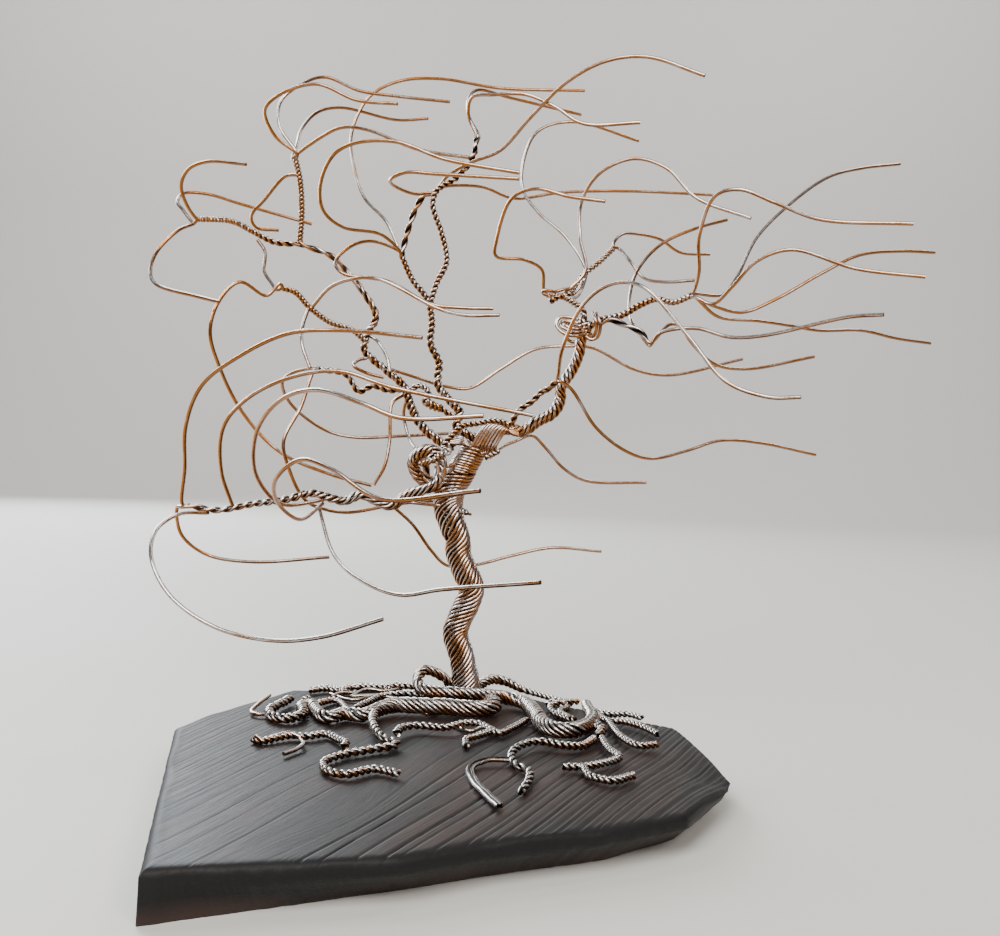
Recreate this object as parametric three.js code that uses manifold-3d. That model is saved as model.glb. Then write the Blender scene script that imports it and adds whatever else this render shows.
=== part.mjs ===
// A windswept tree twisted from steel wire, standing on a charred pine board.
// Millimetres, +Z up. The origin is on the board's underside, below its middle, and +X is the side
// that the wind blows the twigs to.
import * as THREE from "three";
import { mergeVertices } from "three/addons/utils/BufferGeometryUtils.js";
import Module from "manifold-3d";

// Driving dimensions.
const WIRE = 1.0; // diameter of the wire that the whole tree is twisted from
const GAP = 0.3; // clearance between two pieces that lie against each other
const BOARD_THICKNESS = 10;
const BOARD_CHAMFER = 2; // width of the worn slope along the board's upper edge
const BOARD_LOWER_EDGE = 6.5; // height below which the board's sides slope in to its foot
const BOARD_MIDDLE = [0, -4]; // the point that the worn edges draw in towards
const TRUNK_FOOT = 10; // diameter of the trunk where the roots leave it
const TRUNK = 8.2; // diameter of the trunk above them
const TRUNK_TOP = 9.6; // diameter of the trunk where more wire is wound round it, below the limbs
const LIMB = 3.4; // diameter of a limb at its root
const TWIG = 2; // diameter of a two-strand twig
const ROOT = 4.6; // diameter of a main root

const WIRE_SIDES = 4;
const WIRE_CORNER = (WIRE / 2) * Math.sqrt(Math.PI / 2); // gives the square the round wire's area
const WIRE_STEP = 10; // length of wire between two rings of its mesh
const TWIG_LAY = 20;
const TWIG_STEP = 3.8;
const OVAL = 0.7; // a two-strand bundle's thickness as a share of its width
const VALLEY = 0.8; // how far out the groove between two strands is, as a share of the radius
const ROOM_SIDES = 6;
const LEAST_KEPT = 0.9; // the share of a piece that its neighbours' clearance has to leave
const SAME_POINT = 1e-4; // corners of two triangles closer than this are one

// The board's outline, from its sharp near corner clockwise, as seen from above, and the outline of
// its foot, corner for corner. The near and right sides are cut back most.
const BOARD_OUTLINE = [
  [-50, -82.5], [-75, 14], [-70, 30], [-53, 65], [12, 76], [46, 52], [68, 36], [75, -5], [72, -14],
  [57, -40], [37, -51.5], [12, -62], [-4, -71.5],
];
const BOARD_FOOT = [
  [-50, -83], [-73, 14], [-68, 30], [-51, 63], [11, 73], [44, 49], [63, 33], [66, 4], [64, -14],
  [56, -28.5], [38, -43], [13, -54], [-4, -62.5],
];

// Bundles of twisted strands: the route of the middle line, the diameters at places spaced evenly
// along it, how many strands show round it, the lay, which is the length of one turn of the twist,
// and the step between two rings of the mesh.
const BUNDLES = {
  trunk: {
    route: [
      [4, 56, 11], [4, 56, 16], [2.5, 56, 24], [0, 56, 32], [1, 56, 36], [4, 56, 43], [4.5, 56, 47],
      [2, 56, 52], [0, 56, 57], [-0.5, 56, 62], [-3, 56, 68], [-4, 56, 73], [-3.5, 56, 77],
      [0, 56, 84], [4.5, 56, 92], [7.5, 56, 97],
    ],
    diameters: [TRUNK_FOOT, TRUNK, TRUNK, TRUNK, TRUNK, TRUNK, TRUNK_TOP, TRUNK_TOP, TRUNK],
    strands: 7, lay: 50, step: 5,
  },
  left_limb: {
    route: [
      [-3, 56, 91], [-8, 57, 93], [-14, 57, 98], [-17, 58, 103], [-20, 58, 110], [-26, 59, 115],
      [-33, 59, 121], [-32, 60, 127], [-30, 61, 132], [-33, 61, 138], [-39, 62, 145],
      [-45, 62, 151], [-56, 63, 155],
    ],
    diameters: [LIMB, TWIG], strands: 3, lay: 24, step: 3.6,
  },
  middle_limb: {
    route: [
      [2, 56, 97], [-1, 57, 101], [-5, 58, 106], [-9, 59, 111], [-9, 60, 118], [-12, 61, 124],
      [-12, 62, 132], [-14, 63, 139], [-19, 64, 145], [-23, 65, 153],
    ],
    diameters: [LIMB, TWIG], strands: 3, lay: 24, step: 3.6,
  },
  right_limb: {
    route: [
      [8, 56, 97], [13, 55, 98], [19, 54, 97], [23, 53, 100], [28, 52, 103], [30, 52, 107],
      [30, 51, 111], [33, 51, 116], [35, 50, 121], [36, 50, 129],
    ],
    diameters: [LIMB * 1.2, LIMB], strands: 3, lay: 24, step: 3.6,
  },
  lower_branch: {
    route: [
      [-4, 54, 78], [-8, 52, 78], [-13, 50, 81], [-15, 49, 85], [-13, 48, 88.5], [-9, 48, 89.5],
      [-6.5, 48, 86.5], [-6.5, 47, 82], [-9, 46, 78.5], [-16, 47, 75.5], [-21, 47, 72], [-25, 46, 73],
      [-30, 44, 75], [-35, 43, 73], [-40, 41, 74], [-45, 40, 75], [-51, 38, 73], [-62, 37, 71],
      [-71, 35, 69], [-80, 34, 70],
    ],
    diameters: [LIMB, TWIG], strands: 3, lay: 24, step: 3.8,
  },
  trunk_top_twist: {
    route: [[-6, 49, 90], [-5, 50, 93], [-2, 51, 96], [4, 50, 99], [9, 50, 101], [13, 52, 101]],
    diameters: [TWIG],
  },
  left_branch: {
    route: [[-56, 63, 155], [-64, 62, 155], [-71, 61, 158], [-78, 61, 161], [-89, 60, 161]],
    diameters: [TWIG],
  },
  left_upright_twig: {
    route: [[-56, 63, 155], [-56, 64, 166], [-57, 64, 176], [-59, 65, 183]], diameters: [TWIG],
  },
  left_hook_twig: {
    route: [
      [-33, 59, 124], [-37, 57, 127], [-44, 55, 129], [-50, 52, 133], [-54, 50, 137], [-58, 48, 138],
    ],
    diameters: [TWIG],
  },
  inner_left_twig: {
    route: [
      [-19, 57, 109], [-24, 54, 108], [-29, 52, 109], [-33, 50, 107], [-37, 48, 112], [-45, 46, 113],
    ],
    diameters: [TWIG],
  },
  middle_short_twig: {
    route: [[-23, 65, 153], [-22, 66, 159], [-20, 67, 167], [-17, 67, 173], [-14, 68, 175]],
    diameters: [TWIG],
  },
  middle_tall_twig: {
    route: [
      [-13, 63, 137], [-11, 62, 144], [-8, 61, 151], [-10, 60, 160], [-13, 58, 168], [-12, 59, 173],
      [-6, 61, 178], [-1, 62, 185], [0, 64, 192],
    ],
    diameters: [TWIG],
  },
  right_back_twig: {
    route: [[36, 51, 129], [36, 55, 136], [33, 58, 139], [30, 61, 141], [25, 64, 142]],
    diameters: [LIMB * 0.8, TWIG],
  },
  right_fine_twig: {
    route: [[31, 62, 141], [34, 66, 145], [37, 69, 150], [42, 73, 155], [48, 80, 162]],
    diameters: [TWIG, TWIG * 0.8],
  },
  right_outer_twig: {
    route: [
      [36, 50, 129], [41, 49, 132], [48, 48, 134], [53, 47, 137], [58, 46, 139], [63, 45, 138],
      [68, 44, 140],
    ],
    diameters: [LIMB * 0.8, TWIG],
  },
  right_lower_twig: {
    route: [[41, 48, 131], [44, 47, 132], [49, 44, 130], [53, 42, 128], [55, 40, 125]],
    diameters: [TWIG],
  },
  right_open_twist: {
    route: [[15, 53, 99], [17, 50, 103], [21, 48, 106], [24, 46, 109], [26, 44, 110], [28, 42, 112]],
    diameters: [TWIG],
  },
};

// Roots lie on the board or on each other. Each node is one bundle and the bundles that part from it.
const ROOTS = {
  root_front: [
    {
      route: [
        [0, 58, 14], [-4, 57, 18], [-9, 55, 20], [-11, 52, 18], [-10, 49, 16], [-6, 46, 15.5],
        [0, 45, 15.5], [8, 46, 15], [17, 51, 13.2], [22, 49, 12.7], [25.7, 34, 12.7],
        [27.5, 22, 12.7], [31, 17, 12.7], [35, 17, 12.7], [39, 21.5, 12.7], [42.3, 32, 12.7],
        [42, 44, 12.7], [42, 51, 12.5],
      ],
      diameters: [ROOT * 0.7, ROOT * 0.85, ROOT, ROOT, ROOT * 0.7],
    },
    { route: [[42, 27, 12.5], [44, 21, 12.3], [42, 15, 12]], diameters: [ROOT * 0.7, ROOT * 0.55] },
  ],
  root_left: [
    {
      route: [
        [8, 51, 13], [13, 44, 13], [12, 38, 13], [7, 36, 13], [0, 37, 13], [-9, 37, 13],
        [-16, 37, 12.9], [-20, 33, 12.6], [-24, 26, 12.3], [-30, 27, 12.2], [-33, 23, 12],
        [-36, 25, 11.8], [-39, 31, 12], [-42, 38, 12], [-44, 35, 12], [-42, 28, 11.8],
        [-43, 23, 11.7], [-46, 21, 11.6], [-50, 23, 11.6], [-52, 29, 11.8], [-50, 38, 12],
        [-49, 44, 12],
      ],
      diameters: [ROOT * 1.1, ROOT * 1.1, ROOT * 0.85, ROOT * 0.65, ROOT * 0.6],
    },
  ],
  root_left_back: [
    {
      route: [
        [-5, 59, 13], [-14, 67, 12], [-19, 68, 11.8], [-23, 66, 11.6], [-33, 64, 11.6],
        [-37, 60, 11.4], [-41, 61, 11.4], [-46, 59, 11.3],
      ],
      diameters: [TWIG * 1.2, TWIG],
    },
  ],
  root_left_middle: [
    {
      route: [[-6, 54, 12.5], [-15, 58, 11.6], [-22, 54, 11.5], [-25, 46, 11.5], [-28, 37, 11.5]],
      diameters: [TWIG * 1.2, TWIG],
    },
  ],
  root_near_left: [
    {
      route: [
        [-21, 29, 13], [-21, 20, 12.8], [-19, 11, 12.3], [-16, 4, 12], [-12, 0, 11.6],
        [-18, -5, 11.3], [-24, -10, 11.3], [-28, -17, 11.3], [-26, -24, 11.3], [-21, -26, 11.3],
        [-15, -21, 11.3], [-9, -24, 11.3],
      ],
      diameters: [ROOT * 0.6, TWIG * 0.9],
    },
  ],
  root_near_left_fork: [
    {
      route: [
        [-25, -6, 12], [-25, -2, 12], [-28, 3, 11.5], [-32, 8, 11.3], [-36, 5, 11.3],
        [-41, 5, 11.3], [-47, 0, 11], [-50, 1, 11],
      ],
      diameters: [TWIG, WIRE],
    },
  ],
  root_middle: [
    {
      route: [
        [-13, 8, 12.2], [-12, 14, 12.2], [-8, 18, 12], [0, 17, 12], [5, 22, 12.2], [9, 23, 12],
        [13, 18, 11.5], [15, 16, 11.3], [18, 21, 11.3], [23, 32, 11.3],
      ],
      diameters: [TWIG * 1.2, TWIG * 0.8],
    },
    { route: [[13, 18, 11.5], [9, 12, 11.4], [6, 8, 11.4], [6, 3, 11]], diameters: [TWIG * 0.8, WIRE] },
  ],
  root_back_right: [
    {
      route: [
        [8, 60, 14.5], [12, 64, 16], [17, 66, 15], [22, 65, 13.2], [27, 62, 12.4], [33, 58, 11.8],
        [38, 54, 11.6],
      ],
      diameters: [ROOT * 0.8, ROOT * 0.7, TWIG, TWIG],
    },
  ],
  root_right_loop: [
    {
      route: [[40, 55, 12], [34, 51, 12.5], [31, 48, 12], [31, 43, 11.6], [36, 34, 11.6]],
      diameters: [TWIG],
    },
  ],
  root_right_fan: [
    {
      route: [[44, 44, 12], [48, 42, 11.7], [55, 43, 11.5], [58, 40, 11.4]],
      diameters: [TWIG, TWIG * 0.9],
    },
    {
      route: [[44, 43, 12], [47, 34, 11.7], [52, 33, 11.8], [57, 28, 11.6], [60, 22, 11.4]],
      diameters: [TWIG * 1.1, TWIG * 0.8],
    },
    {
      route: [[47, 34, 11.7], [48, 24, 11.5], [49, 17, 11.5], [53, 9, 11.4], [58, 11, 11.4]],
      diameters: [TWIG],
    },
  ],
  root_near_right: [
    {
      route: [
        [41, 12, 12], [37, 6, 11.5], [32, 5, 11.8], [26, 7, 12], [21, 3, 12], [18, -5, 11.6],
        [19, -13, 11.3], [22, -17, 11.3], [22, -24, 11.2], [20, -33, 11],
      ],
      diameters: [ROOT * 0.55, TWIG * 0.8],
    },
    {
      route: [
        [18, -9, 11.3], [12, -10, 11.4], [8, -15, 11], [9, -26, 11], [12, -35, 11], [15, -43, 11],
      ],
      diameters: [WIRE],
    },
  ],
  root_near_right_fork: [
    {
      route: [
        [43, 13, 12], [44, 4, 11.6], [46, -3, 11.5], [41, -9, 11.4], [36, -12, 11.3],
        [31, -13, 11.3],
      ],
      diameters: [TWIG, TWIG * 0.8],
    },
    {
      route: [[36, -12, 11.3], [37, -19, 11.2], [42, -22, 11.2], [48, -17, 11.2]],
      diameters: [TWIG * 0.8],
    },
  ],
};

// Single wires that leave the end of a twig, loop out against the wind and stream back with it.
const WIRES = {
  left_top_wire_1: [
    [-59, 65, 183], [-65, 67, 194], [-66, 71, 204], [-60, 74, 211], [-53, 80, 216], [-42, 83, 213],
    [-28, 87, 213], [-11, 90, 213],
  ],
  left_top_wire_2: [
    [-59, 64, 182], [-65, 61, 189], [-68, 58, 196], [-64, 56, 200], [-51, 52, 203], [-37, 48, 197],
    [-24, 44, 195],
  ],
  left_top_wire_3: [
    [-57, 64, 183], [-50, 60, 189], [-43, 56, 191], [-34, 51, 189], [-17, 43, 181], [-1, 36, 177],
  ],
  left_top_wire_4: [
    [-58, 65, 178], [-63, 68, 178], [-70, 71, 171], [-75, 74, 166], [-74, 77, 163], [-67, 80, 163],
  ],
  left_wire_1: [
    [-89, 60, 162], [-95, 64, 165], [-98, 67, 168], [-97, 71, 172], [-90, 75, 173], [-80, 78, 171],
    [-57, 86, 167],
  ],
  left_wire_2: [
    [-89, 60, 160], [-93, 55, 156], [-98, 50, 148], [-98, 45, 141], [-94, 40, 136], [-80, 34, 132],
    [-72, 30, 130],
  ],
  left_hook_wire: [
    [-58, 48, 138], [-62, 46, 135], [-69, 41, 138], [-74, 38, 132], [-76, 36, 122], [-73, 38, 111],
    [-66, 40, 98], [-55, 42, 87], [-40, 43, 81], [-27, 44, 78],
  ],
  inner_left_wire: [
    [-45, 45, 112], [-49, 41, 101], [-53, 37, 90], [-51, 37, 82], [-47, 42, 73], [-42, 48, 70],
    [-35, 54, 69], [-20, 63, 72], [-8, 68, 73], [3, 73, 69],
  ],
  left_limb_wire: [
    [-24, 57, 115], [-16, 61, 113], [-7, 66, 111], [1, 69, 111], [11, 71, 118], [22, 72, 125],
    [34, 75, 127], [42, 78, 127], [57, 84, 121], [70, 89, 120], [98, 100, 128],
  ],
  middle_wire_1: [
    [-24, 65, 154], [-29, 58, 158], [-40, 50, 158], [-45, 43, 161], [-45, 36, 167], [-41, 31, 174],
    [-35, 28, 177], [-22, 24, 177], [-7, 19, 171], [14, 12, 166],
  ],
  middle_wire_2: [
    [-23, 66, 155], [-29, 71, 165], [-38, 78, 175], [-43, 84, 188], [-45, 90, 201], [-40, 94, 215],
    [-30, 99, 223], [-16, 103, 226], [6, 107, 225], [38, 116, 229],
  ],
  middle_wire_3: [
    [-14, 68, 175], [-9, 63, 179], [-2, 58, 182], [8, 53, 185], [17, 48, 194], [27, 43, 203],
    [38, 38, 208], [50, 33, 208], [66, 25, 200],
  ],
  right_back_wire_1: [
    [30, 62, 142], [37, 63, 150], [35, 64, 161], [35, 65, 173], [40, 60, 181], [50, 56, 185],
    [60, 51, 181], [69, 47, 171], [84, 38, 163],
  ],
  right_back_wire_2: [
    [33, 60, 140], [36, 68, 144], [38, 75, 153], [31, 80, 165], [22, 86, 174], [16, 92, 184], [16, 96, 196],
    [21, 101, 208], [34, 105, 213], [59, 114, 210],
  ],
  right_outer_wire_1: [
    [67, 43, 140], [69, 37, 146], [67, 28, 155], [70, 23, 165], [76, 19, 166], [85, 16, 162],
    [97, 13, 157], [120, 6, 155],
  ],
  right_outer_wire_2: [
    [68, 45, 140], [79, 51, 142], [85, 58, 149], [93, 66, 164], [106, 74, 178], [121, 83, 190],
    [135, 91, 196], [152, 100, 201],
  ],
  right_outer_wire_3: [
    [67, 43, 138], [74, 39, 137], [79, 36, 142], [85, 33, 149], [94, 29, 152], [111, 23, 146],
    [128, 16, 143],
  ],
  right_outer_wire_4: [
    [68, 44, 139], [76, 48, 138], [86, 52, 137], [97, 55, 142], [113, 59, 152], [126, 63, 159],
    [141, 68, 162], [154, 72, 163],
  ],
  right_lower_wire_1: [
    [55, 39, 125], [58, 34, 127], [67, 29, 128], [76, 23, 125], [84, 17, 125], [103, 4, 129],
    [110, -2, 129],
  ],
  right_lower_wire_2: [
    [54, 41, 126], [51, 48, 132], [51, 57, 141], [54, 63, 151], [62, 69, 161], [74, 74, 168],
    [86, 80, 173],
  ],
  right_open_wire: [
    [27, 42, 111], [29, 34, 121], [34, 27, 133], [41, 20, 138], [49, 11, 136], [61, 5, 122],
    [70, -1, 110], [80, -6, 106], [87, -10, 106],
  ],
  right_low_wire: [
    [10, 59, 91], [17, 62, 94], [22, 65, 96], [27, 69, 92], [33, 73, 86], [41, 77, 82], [63, 86, 82],
  ],
  lower_wire_1: [
    [-79, 34, 70], [-79, 27, 81], [-77, 20, 93], [-71, 13, 104], [-59, 6, 112], [-45, 1, 118],
    [-31, -2, 119], [-9, -10, 117],
  ],
  lower_wire_2: [
    [-67, 36, 70], [-69, 29, 81], [-67, 22, 93], [-59, 15, 101], [-46, 9, 107], [-32, 5, 109],
    [-17, 2, 105], [20, -2, 99],
  ],
  lower_wire_3: [
    [-41, 40, 73], [-50, 25, 72], [-54, 10, 80], [-51, -5, 91], [-42, -20, 99], [-30, -34, 101],
    [-19, -41, 98], [-10, -44, 95], [8, -48, 96],
  ],
  lower_wire_4: [
    [-41, 40, 72], [-44, 22, 68], [-47, 6, 73], [-44, -11, 80], [-36, -21, 85], [-27, -29, 83],
    [-15, -36, 77], [8, -50, 80],
  ],
  lower_wire_5: [
    [-74, 35, 68], [-79, 24, 68], [-82, 14, 64], [-80, 5, 57], [-73, 0, 48], [-60, -4, 41],
    [-44, -9, 39], [-31, -13, 41], [-15, -18, 47],
  ],
  lower_wire_6: [
    [-42, 39, 71], [-34, 20, 59], [-24, 3, 54], [-12, -10, 52], [-1, -20, 55], [22, -40, 60],
  ],
  lower_wire_7: [
    [-21, 48, 72], [-15, 55, 66], [-9, 63, 57], [-4, 69, 52], [5, 75, 52], [17, 81, 55],
    [31, 86, 58], [49, 92, 57],
  ],
};

// Wires that run on out of a bundle as one piece with it.
const RUN_ON = {
  left_limb: [
    [[-32, 60, 126], [-28, 55, 123], [-25, 54, 118], [-24, 53, 114]],
    [[-20, 58, 107], [-23, 55, 104], [-23, 52, 92], [-24, 50, 84], [-27, 49, 78]],
  ],
  middle_limb: [
    [
      [-23, 65, 152], [-32, 59, 156], [-38, 54, 153], [-42, 50, 147], [-39, 47, 143], [-25, 46, 141],
      [-11, 43, 134], [-2, 41, 133], [8, 40, 133],
    ],
  ],
  lower_branch: [
    [
      [-80, 34, 69], [-84, 37, 69], [-83, 39, 61], [-76, 42, 55], [-63, 45, 53], [-40, 50, 55],
    ],
  ],
  left_branch: [
    [
      [-88, 60, 161], [-92, 57, 166], [-92, 53, 170], [-89, 50, 174], [-83, 48, 176], [-69, 42, 174],
    ],
  ],
  left_upright_twig: [
    [
      [-59, 65, 182], [-60, 71, 190], [-60, 77, 197], [-56, 83, 205], [-49, 89, 209], [-31, 102, 210],
      [-20, 108, 213],
    ],
  ],
  left_hook_twig: [
    [[-50, 52, 133], [-51, 48, 126], [-50, 44, 120], [-47, 42, 113]],
    [[-57, 49, 138], [-62, 51, 140], [-65, 54, 144], [-66, 58, 151], [-69, 60, 155]],
    [
      [-49, 52, 133], [-43, 46, 138], [-37, 42, 140], [-27, 37, 140], [-8, 32, 131], [0, 29, 129],
      [10, 26, 129],
    ],
  ],
  inner_left_twig: [
    [
      [-45, 47, 113], [-53, 48, 112], [-57, 50, 109], [-55, 52, 103], [-45, 59, 95], [-36, 62, 93],
      [-22, 66, 94], [-3, 70, 96],
    ],
  ],
  middle_short_twig: [
    [
      [-15, 68, 173], [-19, 60, 172], [-25, 51, 172], [-25, 44, 172], [-20, 40, 173], [-11, 37, 172],
      [14, 28, 169],
    ],
    [
      [-15, 68, 174], [-9, 74, 179], [2, 81, 181], [13, 90, 180], [30, 98, 185], [55, 107, 189],
      [89, 118, 192],
    ],
  ],
  middle_tall_twig: [
    [[0, 64, 190], [-3, 71, 201], [-4, 77, 209], [-1, 83, 215], [10, 89, 215], [36, 100, 214]],
    [
      [0, 64, 192], [-3, 64, 199], [-2, 58, 203], [5, 52, 202], [15, 48, 201], [24, 46, 197],
      [33, 43, 191], [50, 40, 191],
    ],
  ],
  right_back_twig: [
    [
      [26, 63, 142], [23, 60, 149], [17, 54, 151], [8, 50, 151], [8, 46, 155], [12, 39, 166],
      [19, 34, 168], [29, 30, 165], [39, 26, 163],
    ],
  ],
  right_fine_twig: [
    [[47, 79, 161], [51, 86, 168], [57, 93, 170], [66, 99, 170], [75, 106, 167], [87, 112, 168]],
    [[47, 79, 161], [53, 74, 156], [57, 70, 150], [63, 65, 148], [72, 60, 148]],
  ],
  right_outer_twig: [
    [
      [66, 44, 139], [78, 50, 135], [92, 55, 135], [104, 62, 135], [116, 70, 135], [133, 79, 137],
      [148, 87, 136], [164, 96, 136],
    ],
  ],
  right_lower_twig: [
    [
      [55, 40, 126], [62, 44, 131], [66, 47, 131], [70, 51, 127], [78, 55, 121], [89, 59, 120],
      [114, 68, 126],
    ],
  ],
  right_open_twist: [
    [
      [28, 42, 112], [33, 45, 110], [41, 48, 99], [51, 51, 92], [60, 56, 90], [72, 62, 93],
      [84, 67, 97], [99, 73, 97], [119, 78, 94],
    ],
  ],
};

const wasm = await Module();
wasm.setup();

// A regular polygon, or with valleys between its corners the outline of strands laid together.
function section(corners, valley = 1) {
  const points = Array.from({ length: corners }, (_, i) => {
    const angle = (2 * Math.PI * i) / corners;
    const radius = i % 2 ? valley : 1;
    return new THREE.Vector2(radius * Math.cos(angle), radius * Math.sin(angle));
  });
  return new THREE.Shape(points);
}

// The radius at the share t of a length along which the diameters are spaced evenly.
function radiusAt(diameters, t) {
  if (diameters.length === 1) return diameters[0] / 2;
  const place = t * (diameters.length - 1);
  const i = Math.min(Math.floor(place), diameters.length - 2);
  return THREE.MathUtils.lerp(diameters[i], diameters[i + 1], place - i) / 2;
}

// A section carried along a smooth curve through the route. radius(t) scales it, and it turns once
// in every lay. The height in the straight extrusion, 0 to 1, is the share t of the curve's length.
function sweep(route, outline, radius, step, lay = Infinity) {
  const curve = new THREE.CatmullRomCurve3(route.map((p) => new THREE.Vector3(...p)));
  const length = curve.getLength();
  const steps = Math.max(2, Math.round(length / step));
  const { normals, binormals } = curve.computeFrenetFrames(steps, false);
  const geometry = new THREE.ExtrudeGeometry(outline, { depth: 1, steps, bevelEnabled: false });
  const position = geometry.getAttribute("position");
  const corner = new THREE.Vector3();
  for (let i = 0; i < position.count; i++) {
    const { x, y, z: t } = corner.fromBufferAttribute(position, i);
    const ring = Math.round(t * steps);
    const turn = (2 * Math.PI * length * t) / lay;
    const along = radius(t) * (x * Math.cos(turn) - y * Math.sin(turn));
    const across = radius(t) * (x * Math.sin(turn) + y * Math.cos(turn));
    corner.copy(curve.getPointAt(t));
    corner.addScaledVector(normals[ring], along).addScaledVector(binormals[ring], across);
    position.setXYZ(i, corner.x, corner.y, corner.z);
  }
  return solidOf(geometry);
}

// The board: from its foot out to its outline, straight up, and in again along the worn edge.
function board() {
  const middle = new THREE.Vector2(...BOARD_MIDDLE);
  const rings = [
    [0, BOARD_FOOT, 0],
    [BOARD_LOWER_EDGE, BOARD_OUTLINE, 0],
    [BOARD_THICKNESS - BOARD_CHAMFER, BOARD_OUTLINE, 0],
    [BOARD_THICKNESS, BOARD_OUTLINE, BOARD_CHAMFER],
  ];
  const corners = BOARD_OUTLINE.map(([x, y]) => new THREE.Vector2(x, y));
  const geometry = new THREE.ExtrudeGeometry(new THREE.Shape(corners), {
    depth: 1,
    steps: rings.length - 1,
    bevelEnabled: false,
  });
  const position = geometry.getAttribute("position");
  for (let i = 0; i < position.count; i++) {
    const [height, outline, inset] = rings[Math.round(position.getZ(i) * (rings.length - 1))];
    const at = BOARD_OUTLINE.findIndex(([x, y]) => x === position.getX(i) && y === position.getY(i));
    const corner = new THREE.Vector2(...outline[at]).sub(middle);
    corner.setLength(corner.length() - inset).add(middle);
    position.setXYZ(i, corner.x, corner.y, height);
  }
  return solidOf(geometry);
}

// The closed solid of a geometry whose triangles share their corners once they are merged.
function solidOf(geometry) {
  geometry.deleteAttribute("normal");
  geometry.deleteAttribute("uv");
  const merged = mergeVertices(geometry, SAME_POINT);
  const vertProperties = merged.getAttribute("position").array;
  const triVerts = new Uint32Array(merged.index.array);
  return new wasm.Manifold(new wasm.Mesh({ numProp: 3, vertProperties, triVerts }));
}

// A bundle's strands show as ridges. Two strands make an oval, and more make a star with valleys.
function bundle({ route, diameters, strands = 2, lay = TWIG_LAY, step = TWIG_STEP }) {
  const outline = section(2 * strands, strands === 2 ? OVAL : VALLEY);
  return sweep(route, outline, (t) => radiusAt(diameters, t), step, lay);
}

function wire(route) {
  return sweep(route, section(WIRE_SIDES), () => WIRE_CORNER, WIRE_STEP);
}

// The room that a bundle takes up, with the clearance round it, in which no other piece may lie.
function room({ route, diameters, step = TWIG_STEP }) {
  const outline = section(ROOM_SIDES);
  const radius = (t) => (radiusAt(diameters, t) + GAP) / Math.cos(Math.PI / ROOM_SIDES);
  return sweep(route, outline, radius, step);
}

const wood = new THREE.MeshStandardMaterial({ color: 0x2b2422, roughness: 0.55, metalness: 0 });
const steel = new THREE.MeshStandardMaterial({ color: 0xb9b2a8, roughness: 0.35, metalness: 1 });

const tree = new THREE.Group();
tree.name = "wire_tree";

function addMesh(name, solid, material) {
  const { vertProperties, triVerts } = solid.getMesh();
  const geometry = new THREE.BufferGeometry();
  geometry.setAttribute("position", new THREE.BufferAttribute(vertProperties, 3));
  geometry.setIndex(new THREE.BufferAttribute(triVerts, 1));
  geometry.computeVertexNormals();
  const mesh = new THREE.Mesh(geometry, material);
  mesh.name = name;
  tree.add(mesh);
}

// Pieces that lie against each other keep the clearance: each is cut back from the room that the
// pieces before it take up, and only its largest body is kept.
let taken = board();
addMesh("wood_base", taken, wood);

function place(name, solids, rooms) {
  const joined = solids.reduce((all, solid) => all.add(solid));
  const bodies = joined.subtract(taken).decompose();
  const body = bodies.reduce((most, one) => (one.volume() > most.volume() ? one : most));
  if (body.volume() < LEAST_KEPT * joined.volume()) throw new Error(name + " is cut in two");
  addMesh(name, body, steel);
  taken = rooms.reduce((all, one) => all.add(one), taken);
}

for (const [name, spec] of Object.entries(BUNDLES)) {
  const wires = RUN_ON[name] ?? [];
  const asWires = wires.map((route) => ({ route, diameters: [WIRE], step: WIRE_STEP }));
  place(name, [bundle(spec), ...wires.map(wire)], [spec, ...asWires].map(room));
}
for (const [name, parts] of Object.entries(ROOTS)) place(name, parts.map(bundle), parts.map(room));
for (const [name, route] of Object.entries(WIRES)) {
  place(name, [wire(route)], [room({ route, diameters: [WIRE], step: WIRE_STEP })]);
}

export default tree;
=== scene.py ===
"""A windswept tree twisted from steel wire, standing on a charred pine board.

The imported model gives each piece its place, and this script gives it its looks. Metres, +Z up.
"""

import math
from collections import namedtuple

import bpy
import numpy as np
from mathutils import Matrix, Vector


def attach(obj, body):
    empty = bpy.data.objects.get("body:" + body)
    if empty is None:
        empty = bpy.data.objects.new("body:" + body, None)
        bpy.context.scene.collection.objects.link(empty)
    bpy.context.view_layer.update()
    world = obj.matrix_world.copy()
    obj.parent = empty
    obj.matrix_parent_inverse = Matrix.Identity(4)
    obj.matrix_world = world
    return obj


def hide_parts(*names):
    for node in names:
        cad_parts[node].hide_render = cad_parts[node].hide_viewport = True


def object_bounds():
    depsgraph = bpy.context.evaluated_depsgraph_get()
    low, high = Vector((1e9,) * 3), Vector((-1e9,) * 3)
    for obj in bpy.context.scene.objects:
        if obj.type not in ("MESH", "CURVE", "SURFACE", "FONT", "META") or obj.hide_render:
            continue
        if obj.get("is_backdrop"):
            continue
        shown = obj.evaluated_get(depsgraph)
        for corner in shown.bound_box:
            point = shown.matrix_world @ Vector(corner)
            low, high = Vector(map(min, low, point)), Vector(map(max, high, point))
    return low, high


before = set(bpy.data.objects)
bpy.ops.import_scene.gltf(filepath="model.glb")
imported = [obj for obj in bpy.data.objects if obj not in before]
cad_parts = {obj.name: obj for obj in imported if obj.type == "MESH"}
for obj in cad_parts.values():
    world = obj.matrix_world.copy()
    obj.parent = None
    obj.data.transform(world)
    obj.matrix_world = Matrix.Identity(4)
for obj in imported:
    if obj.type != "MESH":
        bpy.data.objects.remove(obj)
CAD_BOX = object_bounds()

bl_info = {
    "name": "Twisted Wire Tree",
    "version": (1, 0, 0),
    "blender": (4, 5, 0),
    "location": "View3D > Sidebar > Wire Tree",
    "description": "Builds a tree twisted from steel wire on a charred pine board",
    "category": "Add Mesh",
}

SEED = 11
MM = 0.001


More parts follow.
